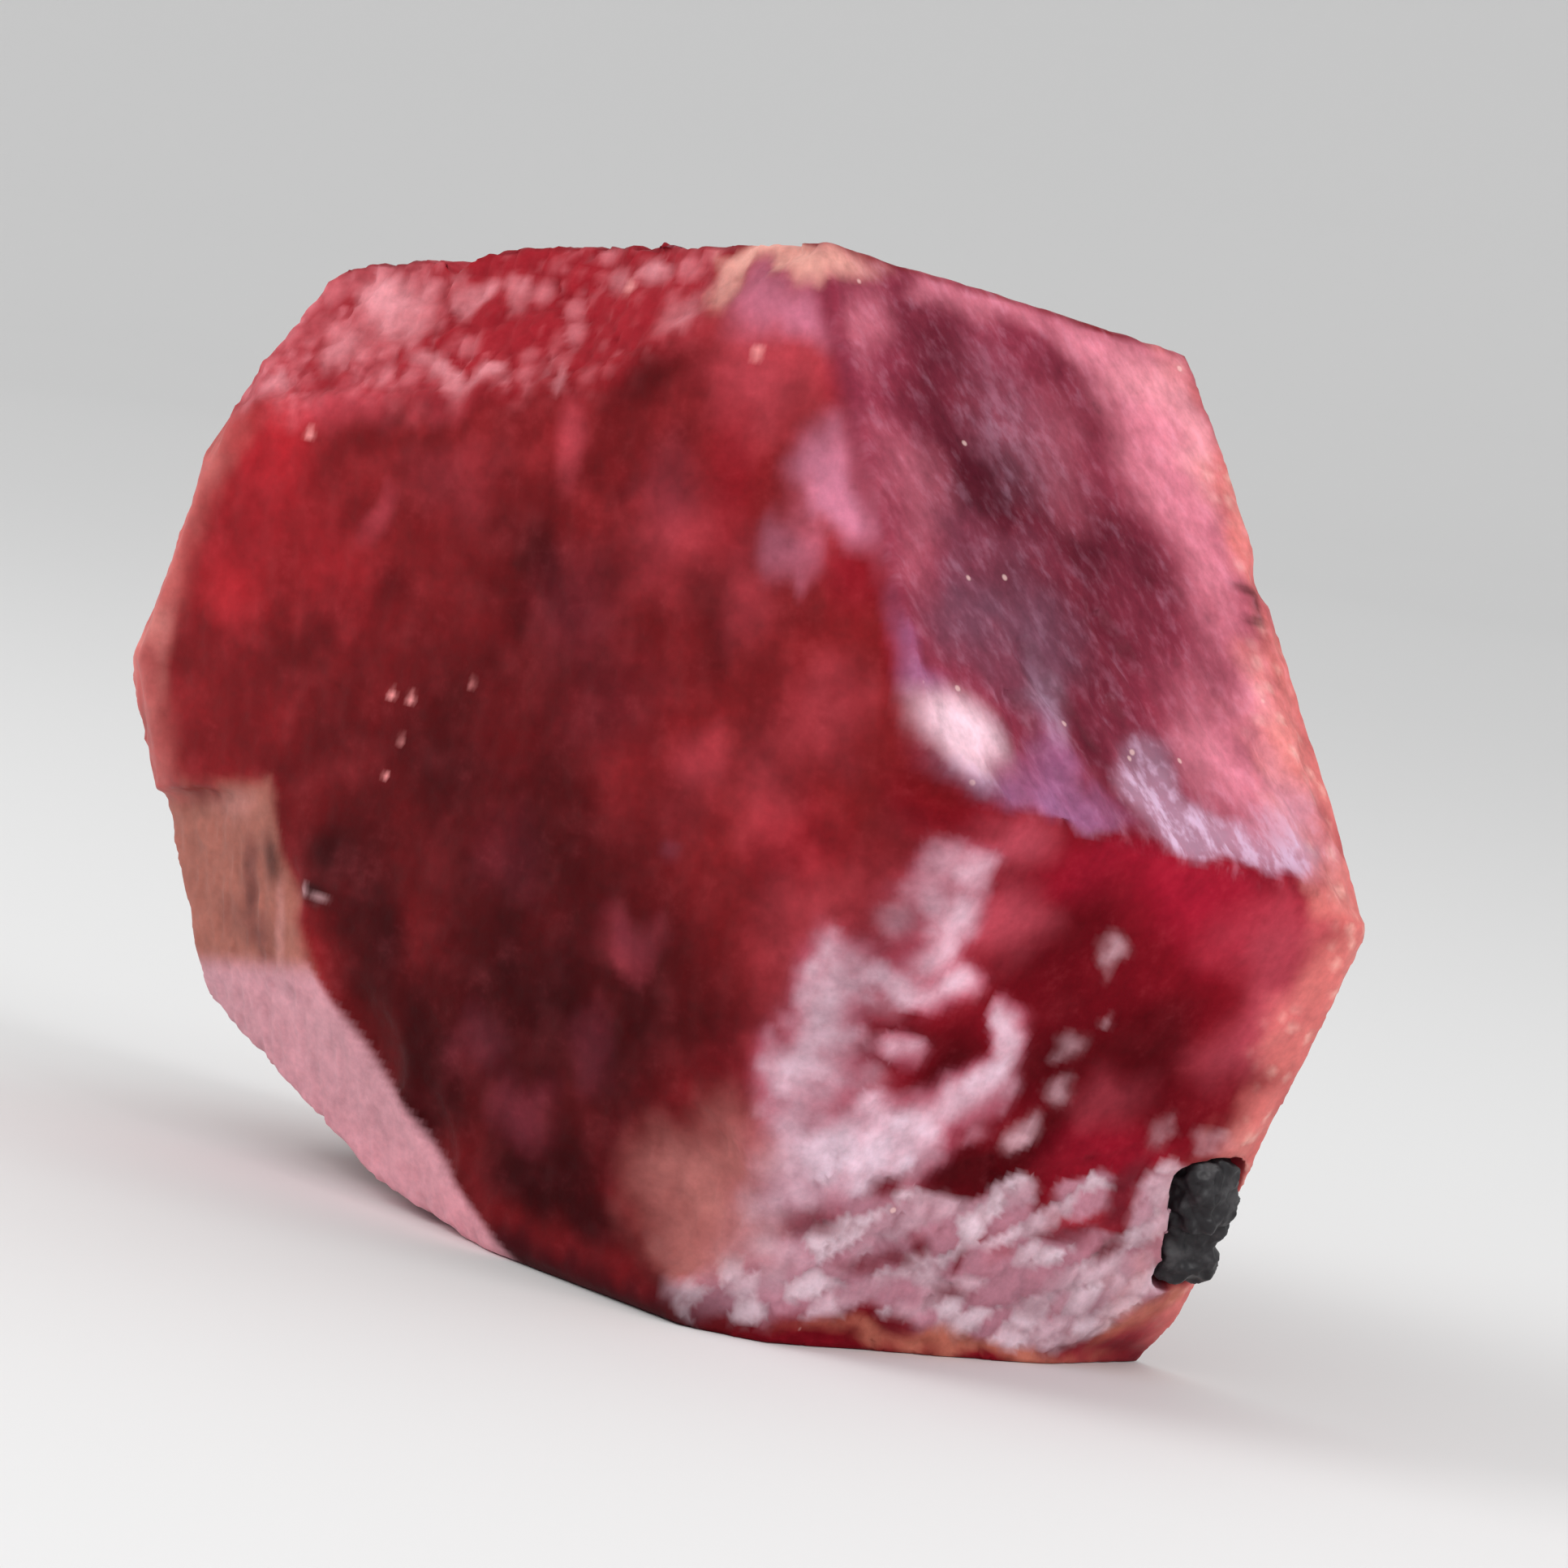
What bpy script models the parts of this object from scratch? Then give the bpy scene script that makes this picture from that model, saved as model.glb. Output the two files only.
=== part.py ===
"""Red beryl crystal, a stubby six-sided prism lying on one side face, with a black bixbyite grain.

The crystal's c axis runs along Y, so its big basal face looks along -Y and its side faces form a
ring about Y. All sizes below are in millimetres, measured from the c axis. The finished solids are
moved so that the origin is the centre of the underside of their common box, and are in metres.
"""

import math

import bmesh
import bpy
from mathutils import Matrix, Vector, noise

MM = 0.001

# Side faces of the prism: ring angle of the outward normal about the c axis (0 is +X, 90 is +Z),
# distance from the axis, and taper, the lean of the face towards the back, in degrees.
SIDE_FACES = {
    "top_right": (91.4, 5.25, 5.3),
    "top_left": (95.8, 5.28, 5.3),
    "top_left_corner": (112.0, 6.22, 3.0),
    "upper_left": (138.0, 6.82, 0.0),
    "left": (153.3, 7.04, 0.0),
    "lower_left": (212.0, 6.02, 0.0),
    "underside": (268.6, 3.73, 0.3),
    "lower_right": (333.9, 5.67, -5.4),
    "upper_right": (31.3, 6.34, 1.8),
}

# Basal faces: distance from the middle, then the lean to the side and the lean up, in degrees.
FRONT_FACE = (1.94, -1.2, -3.0)
BACK_FACE = (2.17, -4.9, 7.7)

# Facets that lean back from the front face: the ring angle of the side to which each falls away,
# the distance from the axis of the line where it leaves the front face, and its lean in degrees.
FRONT_FACETS = {
    "rim_upper_left": (138.0, 6.34, 20.0),
    "rim_left": (153.3, 6.62, 20.0),
    "rim_lower_left": (212.0, 5.42, 22.0),
    "pale_facet": (242.5, 2.89, 14.0),
    "foot_edge": (268.6, 3.64, 45.0),
}

# Hollows with flat sides. Each takes away what lies beyond both of its facets, so that the edge
# between them is a hollow one: the two halves of the band along the top, and the tan facet with
# the low step at its upper end. The facets are given as above.
BAND_LEFT = (95.6, 4.09, 17.0)
BAND_RIGHT = (110.4, 3.72, 16.0)
TAN_FACET = (216.4, 3.44, 9.0)
TAN_STEP = (276.5, -0.36, 84.0)

# Flat cuts at worn edges and broken corners: outward normal, and a point of the cut.
EDGE_CUTS = {
    "front_lower_right_edge": ((0.62, -0.70, -0.35), (6.18, -2.14, 1.23)),
    "front_right_corner": ((0.70, -0.70, -0.12), (6.40, -2.18, 1.95)),
    "back_upper_right_edge": ((0.77, 0.42, 0.47), (5.45, 1.90, 3.27)),
    "back_lower_right_edge": ((0.81, 0.36, -0.40), (6.12, 2.47, -1.06)),
    "back_right_corner": ((0.92, 0.38, 0.05), (6.84, 2.55, 0.80)),
    "back_foot_corner": ((0.70, 0.19, -0.69), (5.18, 2.92, -2.90)),
    "broken_foot_left": ((-0.30, -0.20, -0.93), (-3.00, -1.37, -3.14)),
    "broken_foot_front": ((-0.13, -0.24, -0.96), (-0.70, -1.60, -3.62)),
}
EDGE_BEVEL = 0.07

# Shell-shaped breaks in the front face: centre (x, z), half widths, depth, and turn in degrees.
BITES = {
    "foot_bite": ((3.75, -2.75), (1.20, 0.78), 0.20, 12.0),
    "shell_upper": ((-1.80, -2.20), (0.80, 0.40), 0.08, 28.0),
    "shell_lower": ((-0.50, -2.92), (0.58, 0.34), 0.08, 40.0),
    "shell_left": ((-3.52, -1.02), (0.24, 0.42), 0.06, -30.0),
}
BITE_SUNK = 0.30
BITE_SUBDIVISIONS = 3

# Small chips: centre and radius of the ball that each is the bite of.
CHIPS = (
    ((5.05, -1.62, -4.02), 0.26),
    ((5.42, 2.25, 3.38), 0.30),
    ((6.42, 2.62, 1.75), 0.24),
    ((6.72, 2.62, -0.35), 0.26),
    ((6.02, 2.80, -1.45), 0.20),
    ((2.30, -2.38, 5.34), 0.26),
    ((-2.40, -1.66, 5.30), 0.24),
)

# Slanting growth grooves of the upper right face: the first and the pitch of their lower ends
# along Y, their lengths, how far they run on past the face's lower edge, half width, depth, slant
# from the face's own height, and (x, z) of their lower ends.
GROOVE_FIRST = -1.30
GROOVE_PITCH = 0.58
GROOVE_LENGTHS = (0.9, 1.5, 2.1, 1.7, 2.6, 2.2, 1.4)
GROOVE_OVERRUN = 0.34
GROOVE_HALF_WIDTH = 0.16
GROOVE_DEPTH = 0.065
GROOVE_SLANT = 28.0
GROOVE_FOOT = (6.76, 1.20)

# The mesh: spacing of the cuts that let it carry relief, and the shortest edges kept before and
# after the pocket and the grooves are cut.
GRID_STEP = 0.46
SHORTEST_EDGE = 0.04
FINEST_EDGE = 0.006

# The relief: the angle at which an edge counts as worn, the depth of the chipping there, and the
# size and depth of the blocky grains.
SHARP_ANGLE = 22.0
EDGE_CHIPPING = 0.04
BLOCK_SIZE = 0.62
BLOCK_DEPTH = 0.08

# The black grain: centre and half sizes of its two grown-together blocks, and their turns.
GRAIN_BLOCKS = (
    ((5.02, 2.60, -2.56), (0.27, 0.28, 0.34), (12.0, 24.0, -8.0)),
    ((5.30, 2.46, -2.08), (0.24, 0.31, 0.36), (24.0, 14.0, 12.0)),
)
GRAIN_CORNER = 0.11
POCKET_GAP = 0.05

BERYL_COLOR = (0.36, 0.035, 0.055, 1.0)
GRAIN_COLOR = (0.035, 0.035, 0.04, 1.0)


def clear_scene():
    for obj in list(bpy.data.objects):
        bpy.data.objects.remove(obj, do_unlink=True)


def make_material(name, color, roughness, metallic):
    material = bpy.data.materials.new(name)
    material.use_nodes = True
    shader = material.node_tree.nodes["Principled BSDF"]
    shader.inputs["Base Color"].default_value = color
    shader.inputs["Roughness"].default_value = roughness
    shader.inputs["Metallic"].default_value = metallic
    material.diffuse_color = color
    return material


def add_object(name, bm, material=None):
    mesh = bpy.data.meshes.new(name)
    bm.to_mesh(mesh)
    bm.free()
    if material:
        mesh.materials.append(material)
    obj = bpy.data.objects.new(name, mesh)
    bpy.context.scene.collection.objects.link(obj)
    return obj


def side_plane(angle, distance, taper):
    """Outward normal and a point of a side face."""
    turn = math.radians(angle)
    normal = Vector((math.cos(turn), math.tan(math.radians(taper)), math.sin(turn))).normalized()
    return normal, normal * distance


def basal_plane(distance, lean_side, lean_up, facing):
    """Outward normal and a point of a basal face; facing is -1 for the front and 1 for the back."""
    lean = (math.tan(math.radians(lean_side)), facing, math.tan(math.radians(lean_up)))
    normal = Vector(lean).normalized()
    return normal, normal * distance


def on_front(x, z):
    """The point of the front face at this x and z."""
    normal, point = basal_plane(*FRONT_FACE, -1)
    y = (normal.dot(point) - normal.x * x - normal.z * z) / normal.y
    return Vector((x, y, z))


def facet_plane(angle, distance, lean):
    """Outward normal and a point of a facet that leans back from the front face."""
    front, _ = basal_plane(*FRONT_FACE, -1)
    turn = math.radians(angle)
    leaves_at = on_front(math.cos(turn) * distance, math.sin(turn) * distance)
    along = Vector((-math.sin(turn), 0.0, math.cos(turn)))
    along = (along - front * along.dot(front)).normalized()
    outward = front.cross(along)
    if outward.x * math.cos(turn) + outward.z * math.sin(turn) < 0:
        outward.negate()
    tilt = math.radians(lean)
    return front * math.cos(tilt) + outward * math.sin(tilt), leaves_at


def cut_away(bm, normal, point):
    """Cuts off what lies outside a plane and closes the cut with one flat face."""
    geometry = bm.verts[:] + bm.edges[:] + bm.faces[:]
    result = bmesh.ops.bisect_plane(
        bm, geom=geometry, dist=1e-5, plane_co=point, plane_no=normal, clear_outer=True
    )
    rim = [e for e in result["geom_cut"] if isinstance(e, bmesh.types.BMEdge)]
    if rim:
        bmesh.ops.contextual_create(bm, geom=rim)


def build_prism():
    """The crystal with all of its flat faces, before any break that is hollow."""
    bm = bmesh.new()
    bmesh.ops.create_cube(bm, size=40.0)
    planes = [side_plane(*face) for face in SIDE_FACES.values()]
    planes.append(basal_plane(*FRONT_FACE, -1))
    planes.append(basal_plane(*BACK_FACE, 1))
    planes.extend(facet_plane(*facet) for facet in FRONT_FACETS.values())
    planes.extend((Vector(normal).normalized(), Vector(point)) for normal, point in EDGE_CUTS.values())
    for normal, point in planes:
        cut_away(bm, normal, point)
    bmesh.ops.recalc_face_normals(bm, faces=bm.faces)
    bmesh.ops.bevel(
        bm, geom=bm.edges[:], offset=EDGE_BEVEL, segments=1, affect="EDGES", clamp_overlap=True
    )
    return bm


def build_wedge(*facets):
    """What lies beyond all of these facets."""
    bm = bmesh.new()
    bmesh.ops.create_cube(bm, size=30.0)
    for facet in facets:
        normal, point = facet_plane(*facet)
        cut_away(bm, -normal, point)
    bmesh.ops.recalc_face_normals(bm, faces=bm.faces)
    return bm


def build_ball(place):
    bm = bmesh.new()
    bmesh.ops.create_icosphere(bm, subdivisions=BITE_SUBDIVISIONS, radius=1.0)
    bmesh.ops.transform(bm, matrix=place, verts=bm.verts)
    return bm


def build_bite(centre, half_widths, depth, turn):
    """A squashed ball that bites the front face with this outline and depth."""
    reach = math.sqrt(1.0 - (1.0 - BITE_SUNK) ** 2)
    radii = (half_widths[0] / reach, depth / BITE_SUNK, half_widths[1] / reach)
    middle = on_front(*centre) - Vector((0.0, radii[1] * (1.0 - BITE_SUNK), 0.0))
    turned = Matrix.Translation(middle) @ Matrix.Rotation(math.radians(turn), 4, "Y")
    return build_ball(turned @ Matrix.Diagonal((*radii, 1.0)))


def build_chip(centre, radius):
    return build_ball(Matrix.Translation(centre) @ Matrix.Scale(radius, 4))


def build_groove(index, length):
    """A bar of diamond section along a groove of the upper right face, sunk to its widest."""
    normal, point = side_plane(*SIDE_FACES["upper_right"])
    height = Vector((-normal.z, 0.0, normal.x)).normalized()
    slant = math.radians(GROOVE_SLANT)
    along = (height * math.cos(slant) - Vector((0.0, 1.0, 0.0)) * math.sin(slant)).normalized()
    foot = Vector((GROOVE_FOOT[0], GROOVE_FIRST + index * GROOVE_PITCH, GROOVE_FOOT[1]))
    foot -= normal * (foot - point).dot(normal)
    middle = foot + along * (length / 2.0 - GROOVE_OVERRUN)
    across = normal.cross(along).normalized()
    axes = Matrix((across, normal, along)).transposed().to_4x4()
    diamond = Matrix.Rotation(math.radians(45.0), 4, "Z") @ Matrix.Scale(math.sqrt(2.0), 4)
    half_sizes = Matrix.Diagonal((GROOVE_HALF_WIDTH, GROOVE_DEPTH, length / math.sqrt(2.0), 1.0))
    bm = bmesh.new()
    bmesh.ops.create_cube(bm, size=1.0)
    place = Matrix.Translation(middle) @ axes @ half_sizes @ diamond
    bmesh.ops.transform(bm, matrix=place, verts=bm.verts)
    return bm


def subtract(target, cutters):
    """Cuts each cutter from the target for good, and removes the cutters."""
    for cutter in cutters:
        modifier = target.modifiers.new(cutter.name, "BOOLEAN")
        modifier.operation = "DIFFERENCE"
        modifier.object = cutter
    graph = bpy.context.evaluated_depsgraph_get()
    cut = bpy.data.meshes.new_from_object(target.evaluated_get(graph))
    target.modifiers.clear()
    target.data = cut
    for cutter in cutters:
        bpy.data.objects.remove(cutter, do_unlink=True)


def cut_grid(bm):
    """Divides every face along planes a grid step apart, so that the faces can carry relief."""
    for axis in range(3):
        normal = Vector([float(axis == k) for k in range(3)])
        low = min(v.co[axis] for v in bm.verts)
        high = max(v.co[axis] for v in bm.verts)
        steps = int((high - low) / GRID_STEP)
        for step in range(1, steps + 1):
            point = normal * (low + (step - 0.37) * (high - low) / steps)
            geometry = bm.verts[:] + bm.edges[:] + bm.faces[:]
            bmesh.ops.bisect_plane(bm, geom=geometry, dist=1e-5, plane_co=point, plane_no=normal)


def is_worn_edge(vert):
    """True where the faces about a point turn by more than the sharp angle."""
    sharp = math.radians(SHARP_ANGLE)
    return any(e.is_manifold and e.calc_face_angle(0.0) > sharp for e in vert.link_edges)


def block_depth(point):
    """Broken, blocky grains of the lower right face and of the band along the top."""
    nearest = noise.voronoi(point / BLOCK_SIZE)[0][0]
    return BLOCK_DEPTH * min(nearest, 1.0)


def relief_depth(vert):
    """How far a point of the surface lies below the flat faces."""
    point, normal = vert.co, vert.normal
    depth = 0.0
    low_right = normal.x > 0.4 and normal.z < -0.1 and point.z < -1.0
    top_band = normal.y < -0.6 and normal.z > 0.2
    if low_right or top_band:
        depth += block_depth(point)
    if is_worn_edge(vert):
        depth += EDGE_CHIPPING * max(noise.noise(point * 1.9), 0.0)
    return depth


def carve_relief(bm):
    """Sinks each point by the relief there. The underside stays flat, because it is rested on."""
    normal, point = side_plane(*SIDE_FACES["underside"])
    bm.normal_update()
    sunk = {v: v.normal * relief_depth(v) for v in bm.verts}
    for vert, move in sunk.items():
        if abs((vert.co - point).dot(normal)) < 1e-3:
            move = move - normal * move.dot(normal)
        vert.co -= move


def tidy_mesh(bm, shortest):
    """Merges points nearer than the shortest edge, and leaves triangles that face out."""
    bmesh.ops.remove_doubles(bm, verts=bm.verts, dist=shortest)
    bmesh.ops.triangulate(bm, faces=bm.faces)
    bmesh.ops.dissolve_degenerate(bm, edges=bm.edges, dist=shortest / 5.0)
    bmesh.ops.triangulate(bm, faces=bm.faces)
    bmesh.ops.recalc_face_normals(bm, faces=bm.faces)


def tidy_object(obj, shortest):
    bm = bmesh.new()
    bm.from_mesh(obj.data)
    tidy_mesh(bm, shortest)
    bm.to_mesh(obj.data)
    bm.free()


def build_crystal(material):
    crystal = add_object("beryl_crystal", build_prism(), material)
    shapes = [build_wedge(BAND_LEFT, BAND_RIGHT), build_wedge(TAN_FACET, TAN_STEP)]
    shapes += [build_bite(*bite) for bite in BITES.values()]
    shapes += [build_chip(*chip) for chip in CHIPS]
    subtract(crystal, [add_object(f"cutter_{k}", shape) for k, shape in enumerate(shapes)])
    bm = bmesh.new()
    bm.from_mesh(crystal.data)
    cut_grid(bm)
    tidy_mesh(bm, SHORTEST_EDGE)
    carve_relief(bm)
    bm.to_mesh(crystal.data)
    bm.free()
    return crystal


def build_block(centre, half_sizes, turns, extra):
    """One block of the grain with its corners cut, grown on every side by extra."""
    bm = bmesh.new()
    bmesh.ops.create_cube(bm, size=2.0)
    grown = [half + extra for half in half_sizes]
    bmesh.ops.transform(bm, matrix=Matrix.Diagonal((*grown, 1.0)), verts=bm.verts)
    bmesh.ops.bevel(
        bm, geom=bm.verts[:] + bm.edges[:], offset=GRAIN_CORNER, segments=1, affect="EDGES"
    )
    place = Matrix.Translation(centre)
    for turn, axis in zip(turns, "XYZ"):
        place = place @ Matrix.Rotation(math.radians(turn), 4, axis)
    bmesh.ops.transform(bm, matrix=place, verts=bm.verts)
    return bm


def join_blocks(name, extra, material=None):
    """The grain's two blocks united in one solid, each grown by extra."""
    first, second = (
        add_object(f"{name}_{index}", build_block(*block, extra), material)
        for index, block in enumerate(GRAIN_BLOCKS)
    )
    modifier = first.modifiers.new("join", "BOOLEAN")
    modifier.operation = "UNION"
    modifier.object = second
    graph = bpy.context.evaluated_depsgraph_get()
    first.data = bpy.data.meshes.new_from_object(first.evaluated_get(graph))
    first.modifiers.clear()
    bpy.data.objects.remove(second, do_unlink=True)
    first.name = name
    return first


def seat_grain(crystal, material):
    """Makes the grain, and the pocket for it in the crystal."""
    grain = join_blocks("bixbyite_grain", 0.0, material)
    subtract(crystal, [join_blocks("grain_pocket", POCKET_GAP)])
    tidy_object(grain, FINEST_EDGE)
    return grain


def cut_grooves(crystal):
    grooves = [build_groove(index, length) for index, length in enumerate(GROOVE_LENGTHS)]
    subtract(crystal, [add_object(f"groove_{k}", shape) for k, shape in enumerate(grooves)])


def lay_down(objects):
    """Turns the meshes so that the flat underside looks straight down."""
    normal, _ = side_plane(*SIDE_FACES["underside"])
    turn = normal.rotation_difference(Vector((0.0, 0.0, -1.0))).to_matrix().to_4x4()
    for obj in objects:
        obj.data.transform(turn)


def place_on_origin(objects):
    """Moves the meshes so that the origin is the centre of the underside of their box."""
    corners = [v.co for obj in objects for v in obj.data.vertices]
    low = [min(c[k] for c in corners) for k in range(3)]
    high = [max(c[k] for c in corners) for k in range(3)]
    middle = Vector(((low[0] + high[0]) / 2, (low[1] + high[1]) / 2, low[2]))
    for obj in objects:
        obj.data.transform(Matrix.Scale(MM, 4) @ Matrix.Translation(-middle))


def main():
    clear_scene()
    beryl = make_material("red_beryl", BERYL_COLOR, 0.35, 0.0)
    black = make_material("bixbyite", GRAIN_COLOR, 0.4, 0.3)
    crystal = build_crystal(beryl)
    grain = seat_grain(crystal, black)
    cut_grooves(crystal)
    tidy_object(crystal, FINEST_EDGE)
    lay_down([crystal, grain])
    place_on_origin([crystal, grain])


main()
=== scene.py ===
"""Red beryl crystal with a grain of bixbyite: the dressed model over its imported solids.

Everything is in metres in the row's frame. Marks on the crystal are given in crystal coordinates,
in millimetres: X right along the big front face, Y along the c axis and away from that face, Z up,
with the origin in the middle of the c axis. A ring angle turns about the c axis, from X towards Z.
"""

import logging
import math
from dataclasses import dataclass, field
from enum import Enum
from typing import Optional, Union

import bpy
import numpy as np
from mathutils import Euler, Matrix, Vector


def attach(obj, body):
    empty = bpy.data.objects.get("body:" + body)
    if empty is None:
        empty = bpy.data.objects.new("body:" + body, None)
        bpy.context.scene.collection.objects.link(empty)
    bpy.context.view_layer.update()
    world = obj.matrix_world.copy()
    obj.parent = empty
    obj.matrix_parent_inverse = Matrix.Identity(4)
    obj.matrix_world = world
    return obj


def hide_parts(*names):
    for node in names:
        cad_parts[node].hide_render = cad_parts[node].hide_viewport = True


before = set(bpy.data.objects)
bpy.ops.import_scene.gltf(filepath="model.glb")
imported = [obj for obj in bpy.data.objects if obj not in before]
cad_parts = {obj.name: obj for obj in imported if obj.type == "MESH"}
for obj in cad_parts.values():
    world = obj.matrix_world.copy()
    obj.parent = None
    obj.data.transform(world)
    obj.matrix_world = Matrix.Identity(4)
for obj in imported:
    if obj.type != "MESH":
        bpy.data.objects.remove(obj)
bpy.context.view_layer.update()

LOG = logging.getLogger("red_beryl")
RELIEF, TINT, DUSK, LAVENDER_SHEEN, BROKEN = "relief", "tint", "dusk", "lavender_sheen", "broken"
MM = 0.001
MERGE_DISTANCE = 0.0005
Colour = tuple[float, float, float]
Triple = tuple[float, float, float]
Oval = tuple[float, float, float, float, float, float]


def linear(red: float, green: float, blue: float) -> Colour:
    """Turns a colour, given with parts from 0 to 255, into linear light."""
    parts = [part / 255.0 for part in (red, green, blue)]
    lit = [p / 12.92 if p <= 0.04045 else ((p + 0.055) / 1.055) ** 2.4 for p in parts]
    return (lit[0], lit[1], lit[2])


# --- the crystal


@dataclass(frozen=True)
class Plane:
    """A flat cut through the crystal, in crystal coordinates.

    Args:
        normal: Its outward direction.
        distance: How far it is from the origin along that direction, in millimetres.
    """

    normal: Triple
    distance: float

    @classmethod
    def ring(cls, angle: float, distance: float, taper: float = 0.0) -> "Plane":
        """A side face, or a line across the front face.

        Args:
            angle: Ring angle of its normal, in degrees.
            distance: Millimetres from the c axis.
            taper: Lean towards the back, in degrees.

        Returns:
            The plane.
        """
        turn = math.radians(angle)
        normal = Vector((math.cos(turn), math.tan(math.radians(taper)), math.sin(turn)))
        return cls(tuple(normal.normalized()), distance)

    @classmethod
    def through(cls, normal: Triple, point: Triple) -> "Plane":
        """The plane through a point, with this normal."""
        unit = Vector(normal).normalized()
        return cls(tuple(unit), unit.dot(Vector(point)))

    def above(self, points: np.ndarray) -> np.ndarray:
        """How far points lie outside the plane, in millimetres."""
        return points @ np.array(self.normal) - self.distance


FRONT = Plane((-0.0209, -0.9984, -0.0523), 1.94)
BACK = Plane((-0.0849, 0.9873, 0.1339), 2.17)
UPPER_RIGHT = Plane.ring(31.3, 6.34, 1.8)
LOWER_RIGHT = Plane.ring(333.9, 5.67, -5.4)
UNDERSIDE = Plane.ring(268.6, 3.73, 0.3)
TOP_RIGHT = Plane.ring(91.4, 5.25, 5.3)
TOP_LEFT = Plane.ring(95.8, 5.28, 5.3)
BAND_LEFT = Plane.ring(95.6, 4.09)
BAND_RIGHT = Plane.ring(110.4, 3.72)
TAN_LINE = Plane.ring(216.4, 3.44)
TAN_STEP = Plane.ring(276.5, -0.36)
PALE_LINE = Plane.ring(242.5, 2.89)
RIM_LINES = (Plane.ring(138.0, 6.34), Plane.ring(153.3, 6.62), Plane.ring(212.0, 5.42))
BACK_UPPER_RIM = Plane.through((0.77, 0.42, 0.47), (5.45, 1.90, 3.27))
BACK_LOWER_RIM = Plane.through((0.81, 0.36, -0.40), (6.12, 2.47, -1.06))
TAN_FALL = math.tan(math.radians(9.0))
PALE_FALL = math.tan(math.radians(14.0))
STREAK_SLANT = math.radians(28.0)
OVAL_DEPTH = 0.8
DRAWN_OUT = (0.6, 1.0, 1.0)
FLAKE_AXIS = (0.0, 0.64, 0.77)
MOTTLE = linear(176, 92, 100)
WIDE_DRIFT = ((0.9, 0.30), (0.35, 0.08))
FINE_DRIFT = ((0.5, 0.14), (0.20, 0.06))
BAND_SEED, HALF_BAND_SEED, CLOUD_SEED, RIM_SEED, GRAIN_SEED = 41, 45, 53, 61, 91


class Face(Enum):
    """A face of the crystal that carries ovals of colour."""

    FRONT = FRONT
    UPPER_RIGHT = UPPER_RIGHT
    LOWER_RIGHT = LOWER_RIGHT

    def place(self, across: float, up: float) -> Triple:
        """A point on the face.

        Args:
            across: X on the front face, and Y on the others, in millimetres.
            up: Z, in millimetres.

        Returns:
            The point, in crystal coordinates.
        """
        normal, distance = self.value.normal, self.value.distance
        if self is Face.FRONT:
            return (across, (distance - normal[0] * across - normal[2] * up) / normal[1], up)
        return ((distance - normal[1] * across - normal[2] * up) / normal[0], across, up)

    def directions(self) -> tuple[np.ndarray, np.ndarray]:
        """The directions across and up, as places on the face are given."""
        return np.eye(3)[0 if self is Face.FRONT else 1], np.eye(3)[2]


def streak_axes() -> tuple[Vector, Vector]:
    """The directions across and along the growth streaks of the upper right face."""
    height = Vector((-UPPER_RIGHT.normal[2], 0.0, UPPER_RIGHT.normal[0])).normalized()
    along = height * math.cos(STREAK_SLANT) - Vector((0.0, 1.0, 0.0)) * math.sin(STREAK_SLANT)
    return Vector(UPPER_RIGHT.normal).cross(along).normalized(), along


@dataclass(frozen=True)
class CrystalAxes:
    """Where crystal coordinates lie in the row's frame.

    Args:
        centre: The middle of the c axis, in millimetres of the row's frame.
    """

    centre: Triple = (0.33, -0.38, 3.73)

    def lean(self) -> Matrix:
        """The turn from crystal coordinates to the row's frame, which lays the underside flat."""
        down = Vector((0.0, 0.0, -1.0))
        return Vector(UNDERSIDE.normal).rotation_difference(down).to_matrix()

    def to_crystal(self, points: np.ndarray) -> np.ndarray:
        """Turns points of the row's frame, in millimetres, into crystal coordinates."""
        return (points - np.array(self.centre)) @ np.array(self.lean())

    def mapping(self) -> tuple[Euler, Vector]:
        """The turn and the shift with which a Mapping node reaches crystal coordinates."""
        back = self.lean().transposed()
        return back.to_euler("XYZ"), -(back @ Vector(self.centre))


# --- relief


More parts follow.
